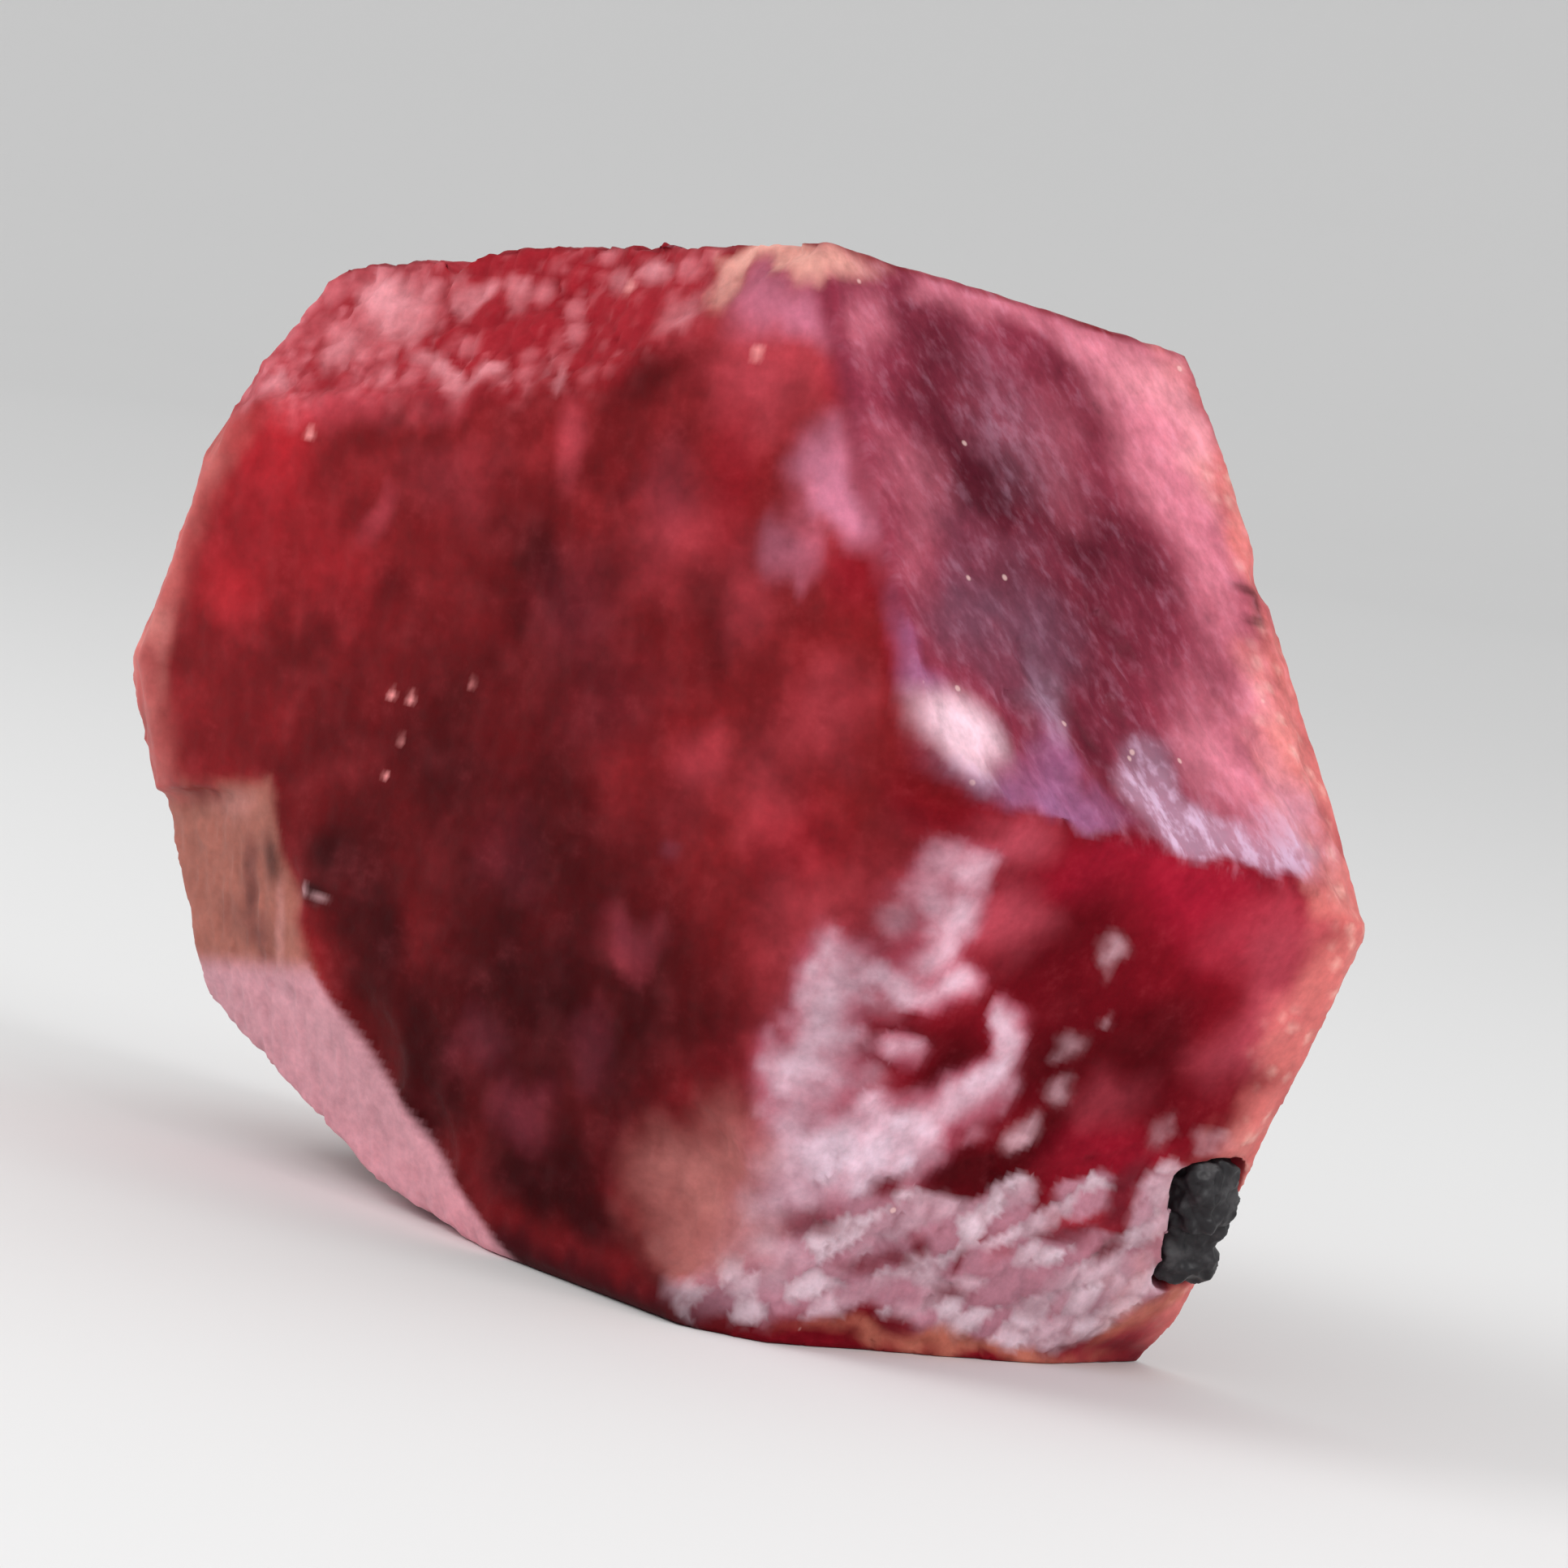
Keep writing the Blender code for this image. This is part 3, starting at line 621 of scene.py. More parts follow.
@dataclass(frozen=True)
class DuskColours:
    """The dusky upper right face, with pink veils, a painted grey-blue reflection as its haze, and
    painted purple and lavender sheen.
    """

    base: Colour = linear(140, 50, 70)
    dusks: Layer = Layer(Face.UPPER_RIGHT, linear(80, 20, 34), (
        (-1.3, 4.9, 0.5, 0.5, 0, 0.7), (-1.3, 4.2, 0.5, 0.5, 0, 0.7), (-1.0, 3.8, 0.6, 0.4, 0, 0.9),
        (-0.5, 3.5, 0.9, 0.5, 0, 0.7), (0.3, 3.35, 0.6, 0.45, 0, 0.7), (-0.7, 2.95, 0.6, 0.3, 0, 0.6),
        (-0.6, 3.6, 1.5, 1.4, 0, 0.3), (0.7, 3.05, 0.4, 0.3, 0, 0.4), (0.3, 4.75, 0.3, 0.4, 10, 0.35),
        (0.4, 4.2, 0.35, 0.4, 0, 0.25), (-0.4, 2.3, 0.6, 0.6, 0, 0.6), (-0.4, 1.6, 0.25, 0.4, 15, 0.7),
        (0.75, 1.6, 0.2, 0.4, 15, 0.5), (0.3, 2.6, 0.6, 0.3, 0, 0.4), (-1.45, 1.75, 0.2, 0.2, 0, 0.7),
        (-1.5, 1.25, 0.3, 0.2, 0, 0.5),
    ), 1.2)
    roses: Layer = Layer(Face.UPPER_RIGHT, linear(236, 140, 160), (
        (1.0, 4.8, 0.6, 0.6, 0, 1.0), (1.3, 4.3, 0.5, 0.5, 0, 0.9), (-0.35, 5.3, 0.7, 0.2, 0, 0.7),
        (0.6, 5.1, 0.5, 0.25, 0, 1.0), (0.95, 3.8, 0.4, 0.4, 0, 0.6), (1.4, 3.5, 0.5, 0.8, 0, 0.9),
        (-1.95, 4.9, 0.3, 0.5, 0, 0.5), (-1.9, 3.6, 0.4, 0.4, 0, 0.3), (-1.85, 3.1, 0.3, 0.4, 0, 0.25),
        (1.3, 2.1, 0.6, 0.5, 0, 0.35), (1.4, 1.55, 0.6, 0.4, 0, 0.9), (1.8, 2.2, 0.3, 0.6, 0, 0.9),
        (-1.05, 5.35, 0.4, 0.12, 0, 0.5), (-0.1, 4.0, 0.4, 0.4, 0, 0.2),
    ), 1.2)
    pales: Layer = Layer(Face.UPPER_RIGHT, linear(250, 166, 176), (
        (1.1, 4.85, 0.5, 0.35, 0, 0.4), (1.5, 4.7, 0.35, 0.5, 0, 0.5), (1.65, 4.2, 0.25, 0.5, 0, 0.7),
        (2.0, 1.6, 0.4, 0.7, 0, 0.9), (1.85, 2.3, 0.2, 0.35, 0, 0.6),
    ))
    # painted reflection: the grey-blue haze over the middle of the face
    haze_reflections: Layer = Layer(Face.UPPER_RIGHT, linear(114, 68, 86), (
        (-1.4, 2.65, 0.6, 0.4, 0, 0.8), (-1.0, 2.45, 0.7, 0.4, 0, 0.8), (-0.8, 2.75, 0.5, 0.3, 0, 0.5),
        (-0.85, 1.95, 0.3, 0.35, 0, 0.7), (-0.7, 3.15, 0.5, 0.2, 0, 0.35), (-1.8, 1.3, 0.4, 0.2, 0, 0.9),
        (0.25, 1.65, 0.35, 0.3, 0, 0.7), (-1.3, 3.2, 0.4, 0.4, 0, 0.4),
    ))
    # painted sheen: purple towards the face's lower edge
    purple_sheens: Layer = Layer(Face.UPPER_RIGHT, linear(166, 104, 146), (
        (-2.2, 2.35, 0.2, 0.4, 15, 0.7), (-2.0, 2.05, 0.25, 0.2, 0, 0.6), (-1.2, 1.35, 0.5, 0.25, 0, 0.7),
        (-1.0, 1.15, 0.5, 0.2, 0, 0.8), (-0.55, 1.1, 0.4, 0.15, 0, 0.7), (-0.85, 1.5, 0.25, 0.4, 10, 0.6),
    ), 0.8)
    # painted sheen: lavender highlights on the ridges along the face's lower edge
    lavender_sheens: Layer = Layer(Face.UPPER_RIGHT, linear(214, 180, 214), (
        (0.15, 1.35, 0.3, 0.3, 10, 0.9), (0.4, 1.1, 0.4, 0.2, -10, 1.0), (0.8, 1.0, 0.4, 0.18, 0, 0.9),
        (1.3, 1.0, 0.45, 0.2, 0, 0.8), (1.85, 1.0, 0.4, 0.18, 0, 0.9), (1.7, 1.25, 0.4, 0.2, 0, 0.5),
        (-0.5, 0.97, 0.25, 0.1, 0, 0.6), (-0.8, 1.9, 0.2, 0.35, 15, 0.3),
        (-1.75, 1.35, 0.25, 0.12, 0, 0.35), (-0.6, 4.3, 0.5, 0.7, 20, 0.14),
        (0.25, 1.75, 0.25, 0.2, 0, 0.4),
    ), 0.8)

    def paint(self, canvas: Canvas, upper: np.ndarray) -> None:
        """Lays the face's own colours.

        Args:
            canvas: What is painted.
            upper: How much of each point belongs to the face.
        """
        patchy = 1.0 + 0.35 * canvas.waves(0.4, 321)
        canvas.lay(self.base, upper)
        canvas.layer(self.dusks, canvas.ragged, upper * patchy)
        canvas.layer(self.roses, canvas.drift, upper * 0.9)
        canvas.layer(self.pales, canvas.ragged, upper)
        # painted reflection and painted sheen
        canvas.layer(self.haze_reflections, canvas.ragged, upper * patchy)
        canvas.layer(self.purple_sheens, canvas.ragged, upper * patchy)
        canvas.mottle(0.3)


@dataclass(frozen=True)
class EdgeColours:
    """The broken band along the top, the facets at the left, the rims with painted light glowing through
    them, and painted glints and glare.
    """

    band_red: Colour = linear(166, 34, 46)
    band_pink: Colour = linear(232, 130, 140)
    top_red: Colour = linear(120, 24, 34)
    foot_maroon: Colour = linear(56, 8, 16)
    # colours of the painted light that glows through the rims
    glow_salmon: Colour = linear(228, 126, 122)
    rim_light: Colour = linear(250, 178, 168)
    tan: Colour = linear(168, 104, 92)
    # the pale facet's colours: its own pale pink, partly painted glare
    pale_pink: Colour = linear(200, 150, 160)
    pale_rose: Colour = linear(226, 156, 168)
    lump_size: float = 0.28
    fleck_size: float = 0.17
    creams: Layer = Layer(Face.FRONT, linear(238, 170, 158), (
        (3.0, 5.4, 0.8, 0.15, 0, 1.0), (3.9, 5.4, 0.5, 0.15, 0, 0.9), (2.6, 5.2, 0.3, 0.3, 0, 0.7),
    ), 0.7)
    paler: Layer = Layer(Face.FRONT, linear(238, 154, 163), (
        (-3.0, 4.65, 0.7, 0.3, 0, 1.0), (-3.7, 4.7, 0.5, 0.25, 0, 1.0), (-1.85, 4.9, 0.5, 0.15, 0, 0.9),
        (-1.9, 4.1, 0.7, 0.15, -5, 0.9), (-1.1, 4.15, 0.3, 0.12, 0, 0.7), (-3.9, 4.25, 0.5, 0.2, 0, 0.5),
        (-1.0, 4.95, 0.3, 0.15, 0, 0.6), (1.2, 5.2, 0.3, 0.15, 0, 0.8), (0.6, 5.1, 0.3, 0.15, 0, 0.6),
        (-5.0, 3.8, 0.2, 0.12, 0, 0.7), (0.15, 4.1, 0.15, 0.12, 0, 0.6), (1.9, 4.9, 0.5, 0.2, 15, 0.5),
    ), 0.7)
    blob: Layer = Layer(Face.FRONT, linear(184, 112, 108), (
        (3.3, -2.5, 0.7, 0.4, 0, 0.8), (3.7, -2.9, 0.9, 0.5, 0, 1.0), (4.1, -2.3, 0.7, 0.5, 0, 0.8),
        (3.7, -3.2, 0.5, 0.3, 0, 0.8),
    ), 0.8)
    tan_shades: Layer = Layer(Face.FRONT, linear(112, 62, 58), (
        (-4.6, -1.0, 0.25, 0.4, 0, 0.8), (-4.3, -1.5, 0.5, 0.25, 0, 0.8), (-5.0, -1.5, 0.4, 0.3, 0, 0.4),
    ), 0.8)
    tan_lights: Layer = Layer(Face.FRONT, linear(196, 132, 126), (
        (-3.75, -1.4, 0.15, 0.5, 0, 0.8), (-5.0, -0.3, 0.7, 0.2, 0, 0.5),
    ), 0.8)
    pitted: Layer = Layer(Face.FRONT, linear(40, 8, 10), (
        (-3.15, -0.95, 0.3, 0.12, 0, 0.9), (-4.0, -0.75, 0.3, 0.22, -50, 0.7),
    ), 0.8)
    # painted highlight: a small white-grey glint on a glassy speck
    glassy_glint: Layer = Layer(Face.FRONT, linear(186, 140, 144), (
        (-3.3, -0.95, 0.08, 0.06, 0, 0.9), (-3.0, -1.0, 0.2, 0.04, 0, 0.9),
    ), 0.8)
    # painted reflection: the near-white glare on the corner where the front and upper right faces meet
    front_corner_glare: Layer = Layer(Face.FRONT, linear(252, 210, 224), (
        (6.72, 1.6, 0.28, 0.24, 0, 1.0), (6.75, 1.42, 0.25, 0.14, 0, 0.9),
    ), 0.8)
    side_corner_glare: Layer = Layer(Face.UPPER_RIGHT, linear(252, 210, 224), (
        (-1.85, 1.72, 0.45, 0.28, -10, 1.0), (-1.6, 1.6, 0.3, 0.17, -10, 0.5),
    ), 0.8)
    chips: Layer = Layer(Face.UPPER_RIGHT, linear(84, 40, 42), (
        (1.85, 3.2, 0.18, 0.04, -5, 0.8), (1.9, 2.95, 0.15, 0.04, 0, 0.8),
        (1.95, 3.08, 0.06, 0.15, 0, 0.7),
    ), 0.8)
    # painted glint: a copper-coloured streak of light along the bottom edge
    copper_glint: Layer = Layer(Face.LOWER_RIGHT, linear(196, 116, 98), (
        (0.8, -3.75, 1.8, 0.1, 0, 0.9), (2.5, -3.3, 0.5, 0.2, 40, 0.8), (2.8, -3.0, 0.2, 0.15, 0, 0.9),
    ), 0.7)
    # painted highlights: small bright glints on the front face
    painted_glint_spots: Layer = Layer(Face.FRONT, linear(255, 160, 160), (
        (-4.05, 3.35, 0.1, 0.06, 0, 0.9), (3.35, 4.55, 0.1, 0.06, 0, 0.9),
        (0.8, 5.05, 0.12, 0.07, 0, 1.0), (-2.05, 1.05, 0.08, 0.05, 0, 0.9),
        (-1.7, 1.05, 0.08, 0.05, 0, 0.9), (-1.8, 0.65, 0.07, 0.04, 0, 0.7),
        (-2.0, 0.3, 0.06, 0.04, 0, 0.8), (-0.65, 1.3, 0.06, 0.04, 0, 0.6),
    ), 0.8)

    def paint(self, canvas: Canvas, upper: np.ndarray) -> None:
        """Lays these colours over the faces' own.

        Args:
            canvas: What is painted.
            upper: How much of each point belongs to the upper right face.
        """
        self.paint_band(canvas, 1.0 - upper)
        self.paint_rims(canvas)
        self.paint_left(canvas)
        canvas.layer(self.blob, canvas.ragged, 0.9 + 0.3 * canvas.waves(0.5, 336))
        # painted reflection: the corner glare, on both faces
        canvas.layer(self.front_corner_glare, canvas.points)
        canvas.layer(self.side_corner_glare, canvas.points, upper)
        # the dark pits, then the painted glassy glint and the painted glints
        for layer in (self.pitted, self.glassy_glint, self.painted_glint_spots):
            canvas.layer(layer, canvas.points)

    def paint_band(self, canvas: Canvas, mask: np.ndarray) -> None:
        """Lays the lumps of the band along the top."""
        ragged = canvas.ragged
        beyond = np.minimum(BAND_LEFT.above(ragged), BAND_RIGHT.above(ragged))
        band = step_up(beyond + 0.15 * canvas.waves(0.6, 331), -0.35, 0.30) * mask
        band *= 1.0 - step_up(ragged[:, 0], 1.6, 3.4)
        band *= 1.0 - 0.6 * step_up(ragged[:, 1], 0.0, 1.6)
        tone = 1.1 * canvas.lumps(self.lump_size, BAND_SEED) + 0.6 * canvas.waves(0.5, 333) - 0.05
        tone -= 0.25 * step_up(ragged[:, 0], -3.5, -1.5)
        canvas.lay(blend(self.band_red, self.band_pink, tone), band * 0.85)
        canvas.layer(self.paler, ragged, 0.85 + 0.4 * canvas.waves(0.3, 334))
        top = np.maximum(TOP_LEFT.above(canvas.points), TOP_RIGHT.above(canvas.points))
        canvas.lay(self.top_red, step_up(top, -0.10, -0.03) * (0.75 + 0.5 * canvas.waves(0.4, 335)))
        canvas.layer(self.creams, ragged)

    def paint_rims(self, canvas: Canvas) -> None:
        """Lays painted light glowing through the rims at the back and at the left, a painted copper glint
        along the bottom edge, darker maroon along the bottom, and dark chips.
        """
        ragged, back = canvas.ragged, canvas.points[:, 1]
        # painted light: the back rims glow salmon, lit through
        behind = np.maximum(BACK_UPPER_RIM.above(ragged), BACK_LOWER_RIM.above(ragged))
        behind = step_up(behind, -0.26, 0.02) * step_up(back, 0.5, 1.3)
        _, away, _, chance = Noise.cells(canvas.points, self.fleck_size, RIM_SEED)
        fleck = (1.0 - step_up(away, 0.03, 0.09)) * step_up(chance, 0.4, 0.6)
        tone = fleck + 0.35 * canvas.waves(0.4, 341)
        canvas.lay(blend(self.glow_salmon, self.rim_light, tone), behind * 0.85)
        # painted light: the left rims glow salmon, lit through
        rim = np.max([line.above(ragged) for line in RIM_LINES], axis=0)
        rim = step_up(rim, -0.60, 0.20) * (1.0 - step_up(canvas.drift[:, 1], -1.7, 0.1))
        rim *= 1.0 - step_up(canvas.points[:, 2], 2.8, 3.8)
        wave = canvas.waves(0.9, 342)
        canvas.lay(blend(self.glow_salmon, self.rim_light, 0.25 + wave), rim * (0.75 + 0.4 * wave))
        foot = step_up(UNDERSIDE.above(ragged), -0.50, -0.08)
        canvas.lay(self.foot_maroon, foot * (1.0 - step_up(ragged[:, 0], 3.4, 4.6)) * 0.85)
        # the painted copper glint
        canvas.layer(self.copper_glint, ragged, 0.9 + 0.4 * canvas.waves(0.2, 343))
        canvas.layer(self.chips, canvas.points)

    def paint_left(self, canvas: Canvas) -> None:
        """Lays the tan facet and the pale one below it, whose pale pink is partly its own colour and
        partly painted glare.
        """
        points, ragged = canvas.points, canvas.points + (canvas.ragged - canvas.points) * 0.4
        near = 1.0 - step_up(canvas.drift[:, 1], -1.2, -0.6)
        inside = np.minimum(TAN_LINE.above(ragged), TAN_STEP.above(ragged))
        tan = step_up(inside + 0.16 * canvas.waves(0.5, 353), -0.16, 0.10) * near
        canvas.lay(self.tan, tan)
        canvas.layer(self.tan_shades, canvas.ragged, tan * (1.0 + 0.6 * canvas.waves(0.25, 351)))
        canvas.layer(self.tan_lights, canvas.ragged, tan)
        # the pale facet: its own pale pink with painted glare, lighter towards its top
        past_tan, past_pale = TAN_LINE.above(points), PALE_LINE.above(points)
        inside = np.minimum(past_pale, (past_pale * PALE_FALL - past_tan * TAN_FALL) * 4.0)
        tone = 0.5 + 0.6 * canvas.waves(1.2, 352) + step_up(points[:, 2], -1.8, -1.0) * 0.5
        pale = blend(self.pale_pink, self.pale_rose, tone)
        canvas.lay(pale, step_up(inside, -0.07, 0.07) * near)


@dataclass(frozen=True)
class CrystalPaint:
    """All the colours of the crystal."""

    front: FrontColours = field(default_factory=FrontColours)
    cloud: CloudColours = field(default_factory=CloudColours)
    dusk: DuskColours = field(default_factory=DuskColours)
    edges: EdgeColours = field(default_factory=EdgeColours)

    def paint(self, points: np.ndarray) -> dict[str, np.ndarray]:
        """Works out what the shader reads at each point.

        Args:
            points: The surface's points, in crystal coordinates.

        Returns:
            The values of each attribute, by name.
        """
        canvas = Canvas(points, self.front.base)
        ragged = canvas.ragged
        over, under = UPPER_RIGHT.above(ragged), LOWER_RIGHT.above(ragged)
        ridge = step_up(over - under, -0.07, 0.07)
        upper = step_up(over, -0.50, -0.02) * ridge
        lower = step_up(under, -0.30, -0.08) * (1.0 - ridge)
        self.front.paint(canvas)
        self.cloud.paint(canvas, lower)
        self.dusk.paint(canvas, upper)
        self.edges.paint(canvas, upper)
        # where the painted lavender sheen lies
        lavender_sheen = self.dusk.lavender_sheens.share(ragged) * upper
        streaky = step_up(UPPER_RIGHT.above(points), -0.16, -0.06)
        broken = np.maximum(self.cloud.grains.share(points), self.edges.paler.share(points))
        return {TINT: canvas.colour, DUSK: streaky, LAVENDER_SHEEN: lavender_sheen, BROKEN: broken}


# --- shaders


class Wire:
    """A number at a socket of a shader. Arithmetic on it adds Math nodes."""

    def __init__(self, bench: "Bench", socket: bpy.types.NodeSocket) -> None:
        """Keeps the bench that adds nodes, and the socket."""
        self.bench = bench
        self.socket = socket

    def math(self, operation: str, first: "Number", second: "Number") -> "Wire":
        """Adds one Math node."""
        made = self.bench.node("ShaderNodeMath", {"operation": operation}, {0: first, 1: second})
        return Wire(self.bench, made.outputs[0])

    def __add__(self, other: "Number") -> "Wire":
        """This plus the other."""
        return self.math("ADD", self, other)

    __radd__ = __add__

    def __sub__(self, other: "Number") -> "Wire":
        """This less the other."""
        return self.math("SUBTRACT", self, other)

    def __rsub__(self, other: "Number") -> "Wire":
        """The other less this."""
        return self.math("SUBTRACT", other, self)

    def __mul__(self, other: "Number") -> "Wire":
        """This times the other."""
        return self.math("MULTIPLY", self, other)

    __rmul__ = __mul__

    def step(self, low: float, high: float) -> "Wire":
        """Rises, or falls where low is the larger, smoothly from 0 at low to 1 at high."""
        settings = {"interpolation_type": "SMOOTHSTEP"}
        sockets: dict[Union[int, str], SocketValue] = {
            "Value": self,
            "From Min": min(low, high),
            "From Max": max(low, high),
            "To Min": 0.0 if low < high else 1.0,
            "To Max": 1.0 if low < high else 0.0,
        }
        return Wire(self.bench, self.bench.node("ShaderNodeMapRange", settings, sockets).outputs[0])


Number = Union[Wire, float]
SocketValue = Union[Wire, bpy.types.NodeSocket, float, tuple, Vector, Euler]
MIX_UNDER, MIX_OVER, MIX_RESULT = 6, 7, 2


class Bench:
    """Builds one material's nodes."""

    def __init__(self, name: str) -> None:
        """Makes the material and finds its Principled shader."""
        self.material = bpy.data.materials.new(name)
        self.material.use_nodes = True
        self.tree = self.material.node_tree
        self.shader = self.tree.nodes["Principled BSDF"]

    def node(
        self,
        kind: str,
        settings: Optional[dict[str, object]] = None,
        sockets: Optional[dict[Union[int, str], SocketValue]] = None,
    ) -> bpy.types.Node:
        """Adds any node.

        Args:
            kind: The node's type.
            settings: What is set on the node itself.
            sockets: Values or links of its inputs, by name or number.

        Returns:
            The node.
        """
        made = self.tree.nodes.new(kind)
        for name, value in (settings or {}).items():
            setattr(made, name, value)
        for key, value in (sockets or {}).items():
            self.feed(made.inputs[key], value)
        return made

    def feed(self, target: bpy.types.NodeSocket, value: SocketValue) -> None:
        """Links a socket, or sets its value."""
        if isinstance(value, Wire):
            value = value.socket
        if isinstance(value, bpy.types.NodeSocket):
            self.tree.links.new(value, target)
        elif isinstance(value, tuple) and len(value) == 3 and target.type == "RGBA":
            target.default_value = (*value, 1.0)
        else:
            target.default_value = value

    def set(self, name: str, value: SocketValue) -> None:
        """Sets or links an input of the Principled shader."""
        self.feed(self.shader.inputs[name], value)

    def attribute(self, name: str) -> bpy.types.Node:
        """Reads values that the mesh carries."""
        return self.node("ShaderNodeAttribute", {"attribute_name": name})

    def mark(self, name: str) -> Wire:
        """Reads one number that the mesh carries."""
        return Wire(self, self.attribute(name).outputs["Fac"])

    def crystal_point(self, axes: CrystalAxes) -> bpy.types.NodeSocket:
        """The point in crystal coordinates, in millimetres."""
        turn, shift = axes.mapping()
        sockets = {
            "Vector": self.node("ShaderNodeTexCoord").outputs["Object"],
            "Location": shift,
            "Rotation": turn,
            "Scale": (1.0 / MM,) * 3,
        }
        return self.node("ShaderNodeMapping", {"vector_type": "POINT"}, sockets).outputs[0]

    def stretched(self, point: bpy.types.NodeSocket, scale: Triple) -> bpy.types.NodeSocket:
        """The point with each part scaled."""
        sockets = {"Vector": point, "Scale": scale}
        return self.node("ShaderNodeMapping", {"vector_type": "POINT"}, sockets).outputs[0]

    def swing(self, point: bpy.types.NodeSocket, per_mm: float, detail: float) -> Wire:
        """Noise of so many waves in a millimetre, that swings about zero by about half a unit."""
        sockets = {"Vector": point, "Scale": per_mm, "Detail": detail, "Roughness": 0.6}
        made = self.node("ShaderNodeTexNoise", {"noise_dimensions": "3D"}, sockets)
        return (Wire(self, made.outputs[0]) - 0.5) * 2.5

    def along(self, point: bpy.types.NodeSocket, direction: Union[Vector, Triple]) -> Wire:
        """How far the point lies along a direction, in millimetres."""
        sockets = {0: point, 1: direction}
        made = self.node("ShaderNodeVectorMath", {"operation": "DOT_PRODUCT"}, sockets)
        return Wire(self, made.outputs["Value"])

    def mix(self, share: Number, under: SocketValue, over: SocketValue) -> bpy.types.NodeSocket:
        """Lays one colour over another."""
        sockets = {0: share, MIX_UNDER: under, MIX_OVER: over}
        return self.node("ShaderNodeMix", {"data_type": "RGBA"}, sockets).outputs[MIX_RESULT]

    def scaled(self, colour: bpy.types.NodeSocket, factor: Wire) -> bpy.types.NodeSocket:
        """A colour made lighter or darker."""
        sockets = {0: colour, "Scale": factor}
        return self.node("ShaderNodeVectorMath", {"operation": "SCALE"}, sockets).outputs[0]


BERYL_LIGHT: dict[str, SocketValue] = {
    "IOR": 1.57,
    "Specular IOR Level": 0.015,
    "Coat Weight": 0.02,
    "Coat Roughness": 0.14,
    "Subsurface Weight": 0.15,
    "Subsurface Radius": (1.0, 0.30, 0.25),
    "Subsurface Scale": 0.0004,
}


@dataclass(frozen=True)
class BerylFinish:
    """The cloudy red of the crystal: mottling, streaks and specks on its colours, painted shade in its
    hollows, painted lavender sheen, painted glints, and its gloss.
    """

    veil: Colour = linear(206, 112, 122)
    lavender_sheen: Colour = linear(220, 184, 212)
    glint: Colour = linear(255, 214, 208)
    smooth: float = 0.42
    broken: float = 0.60
    bump_height: float = 0.006

    def make(self, axes: CrystalAxes) -> bpy.types.Material:
        """Builds the material.

        Args:
            axes: Where crystal coordinates lie.

        Returns:
            The material.
        """
        bench = Bench("red_beryl")
        point = bench.crystal_point(axes)
        level = bench.stretched(point, DRAWN_OUT)
        mottle, speck = bench.swing(level, 2.6, 5.0), bench.swing(level, 11.0, 3.0)
        fleck, dusk = self.fleck(bench, point), bench.mark(DUSK)
        relief, broken = bench.mark(RELIEF) - 0.4, bench.mark(BROKEN)
        streak = fleck * dusk
        # painted shade: the colour is darkened where the surface is sunk, so the hollows come out darker
        tone = mottle * 0.24 + speck * 0.20 + streak * 0.28 - relief * 0.22 + 1.0
        colour = bench.scaled(bench.attribute(TINT).outputs["Color"], tone)
        veil = (mottle * 0.8 + speck * 0.5).step(0.05, 0.85) * 0.05
        colour = bench.mix(veil, colour, self.veil)
        # painted sheen: lavender laid on the crests of the growth streaks, more where the mesh marks it
        lit = fleck.step(-0.10, 0.50) * dusk * mottle.step(-0.6, 0.8) * 0.16
        colour = bench.mix(lit, colour, self.lavender_sheen)
        crest = (fleck - relief * 0.8).step(-0.25, 0.30)
        colour = bench.mix(bench.mark(LAVENDER_SHEEN) * (crest * 0.6 + 0.45), colour, self.lavender_sheen)
        # painted highlights: glints laid into the colour on the streaked face and the broken parts
        glints = self.glints(bench, point) * (dusk * 0.8 + broken)
        colour = bench.mix(glints, colour, self.glint)
        bench.set("Base Color", colour)
        spread = self.broken - self.smooth
        bench.set("Roughness", broken * spread + speck * 0.16 + self.smooth)
        height = speck * 0.4 + streak * 0.9
        sockets = {"Height": height, "Distance": self.bump_height * MM, "Strength": 0.7}
        bench.set("Normal", bench.node("ShaderNodeBump", None, sockets).outputs[0])
        for name, value in BERYL_LIGHT.items():
            bench.set(name, value)
        return bench.material

    @staticmethod
    def fleck(bench: Bench, point: bpy.types.NodeSocket) -> Wire:
        """Noise drawn out along the growth streaks."""
        across, along = streak_axes()
        sockets = {0: bench.along(point, across) * 7.5, 1: bench.along(point, along) * 3.6}
        return bench.swing(bench.node("ShaderNodeCombineXYZ", None, sockets).outputs[0], 1.0, 3.0)

    @staticmethod
    def glints(bench: Bench, point: bpy.types.NodeSocket) -> Wire:
        """Tiny painted glints: bright points of colour, scattered thinly."""
        cell = bench.node("ShaderNodeTexVoronoi", None, {"Vector": point, "Scale": 3.0})
        parts = bench.node("ShaderNodeSeparateColor", None, {0: cell.outputs["Color"]})
        chosen = Wire(bench, parts.outputs[0]).step(0.70, 0.71)
        return Wire(bench, cell.outputs["Distance"]).step(0.11, 0.05) * chosen * 0.6


@dataclass(frozen=True)
class BixbyiteFinish:
    """Black grain with a grey, half-metallic gloss, the grey partly laid into its colour as painted
    sheen.
    """

    black: Colour = linear(28, 25, 29)
    grey: Colour = linear(74, 72, 74)
    roughness: float = 0.48
    metallic: float = 0.2

    def make(self, axes: CrystalAxes) -> bpy.types.Material:
        """Builds the material."""
        bench = Bench("bixbyite")
        sheen_mottle = bench.swing(bench.crystal_point(axes), 4.0, 5.0)
        # painted sheen: grey patches laid into the black colour
        bench.set("Base Color", bench.mix(sheen_mottle.step(-0.1, 0.6), self.black, self.grey))
        bench.set("Roughness", sheen_mottle * 0.1 + self.roughness)
        bench.set("Metallic", self.metallic)
        return bench.material


# --- pieces


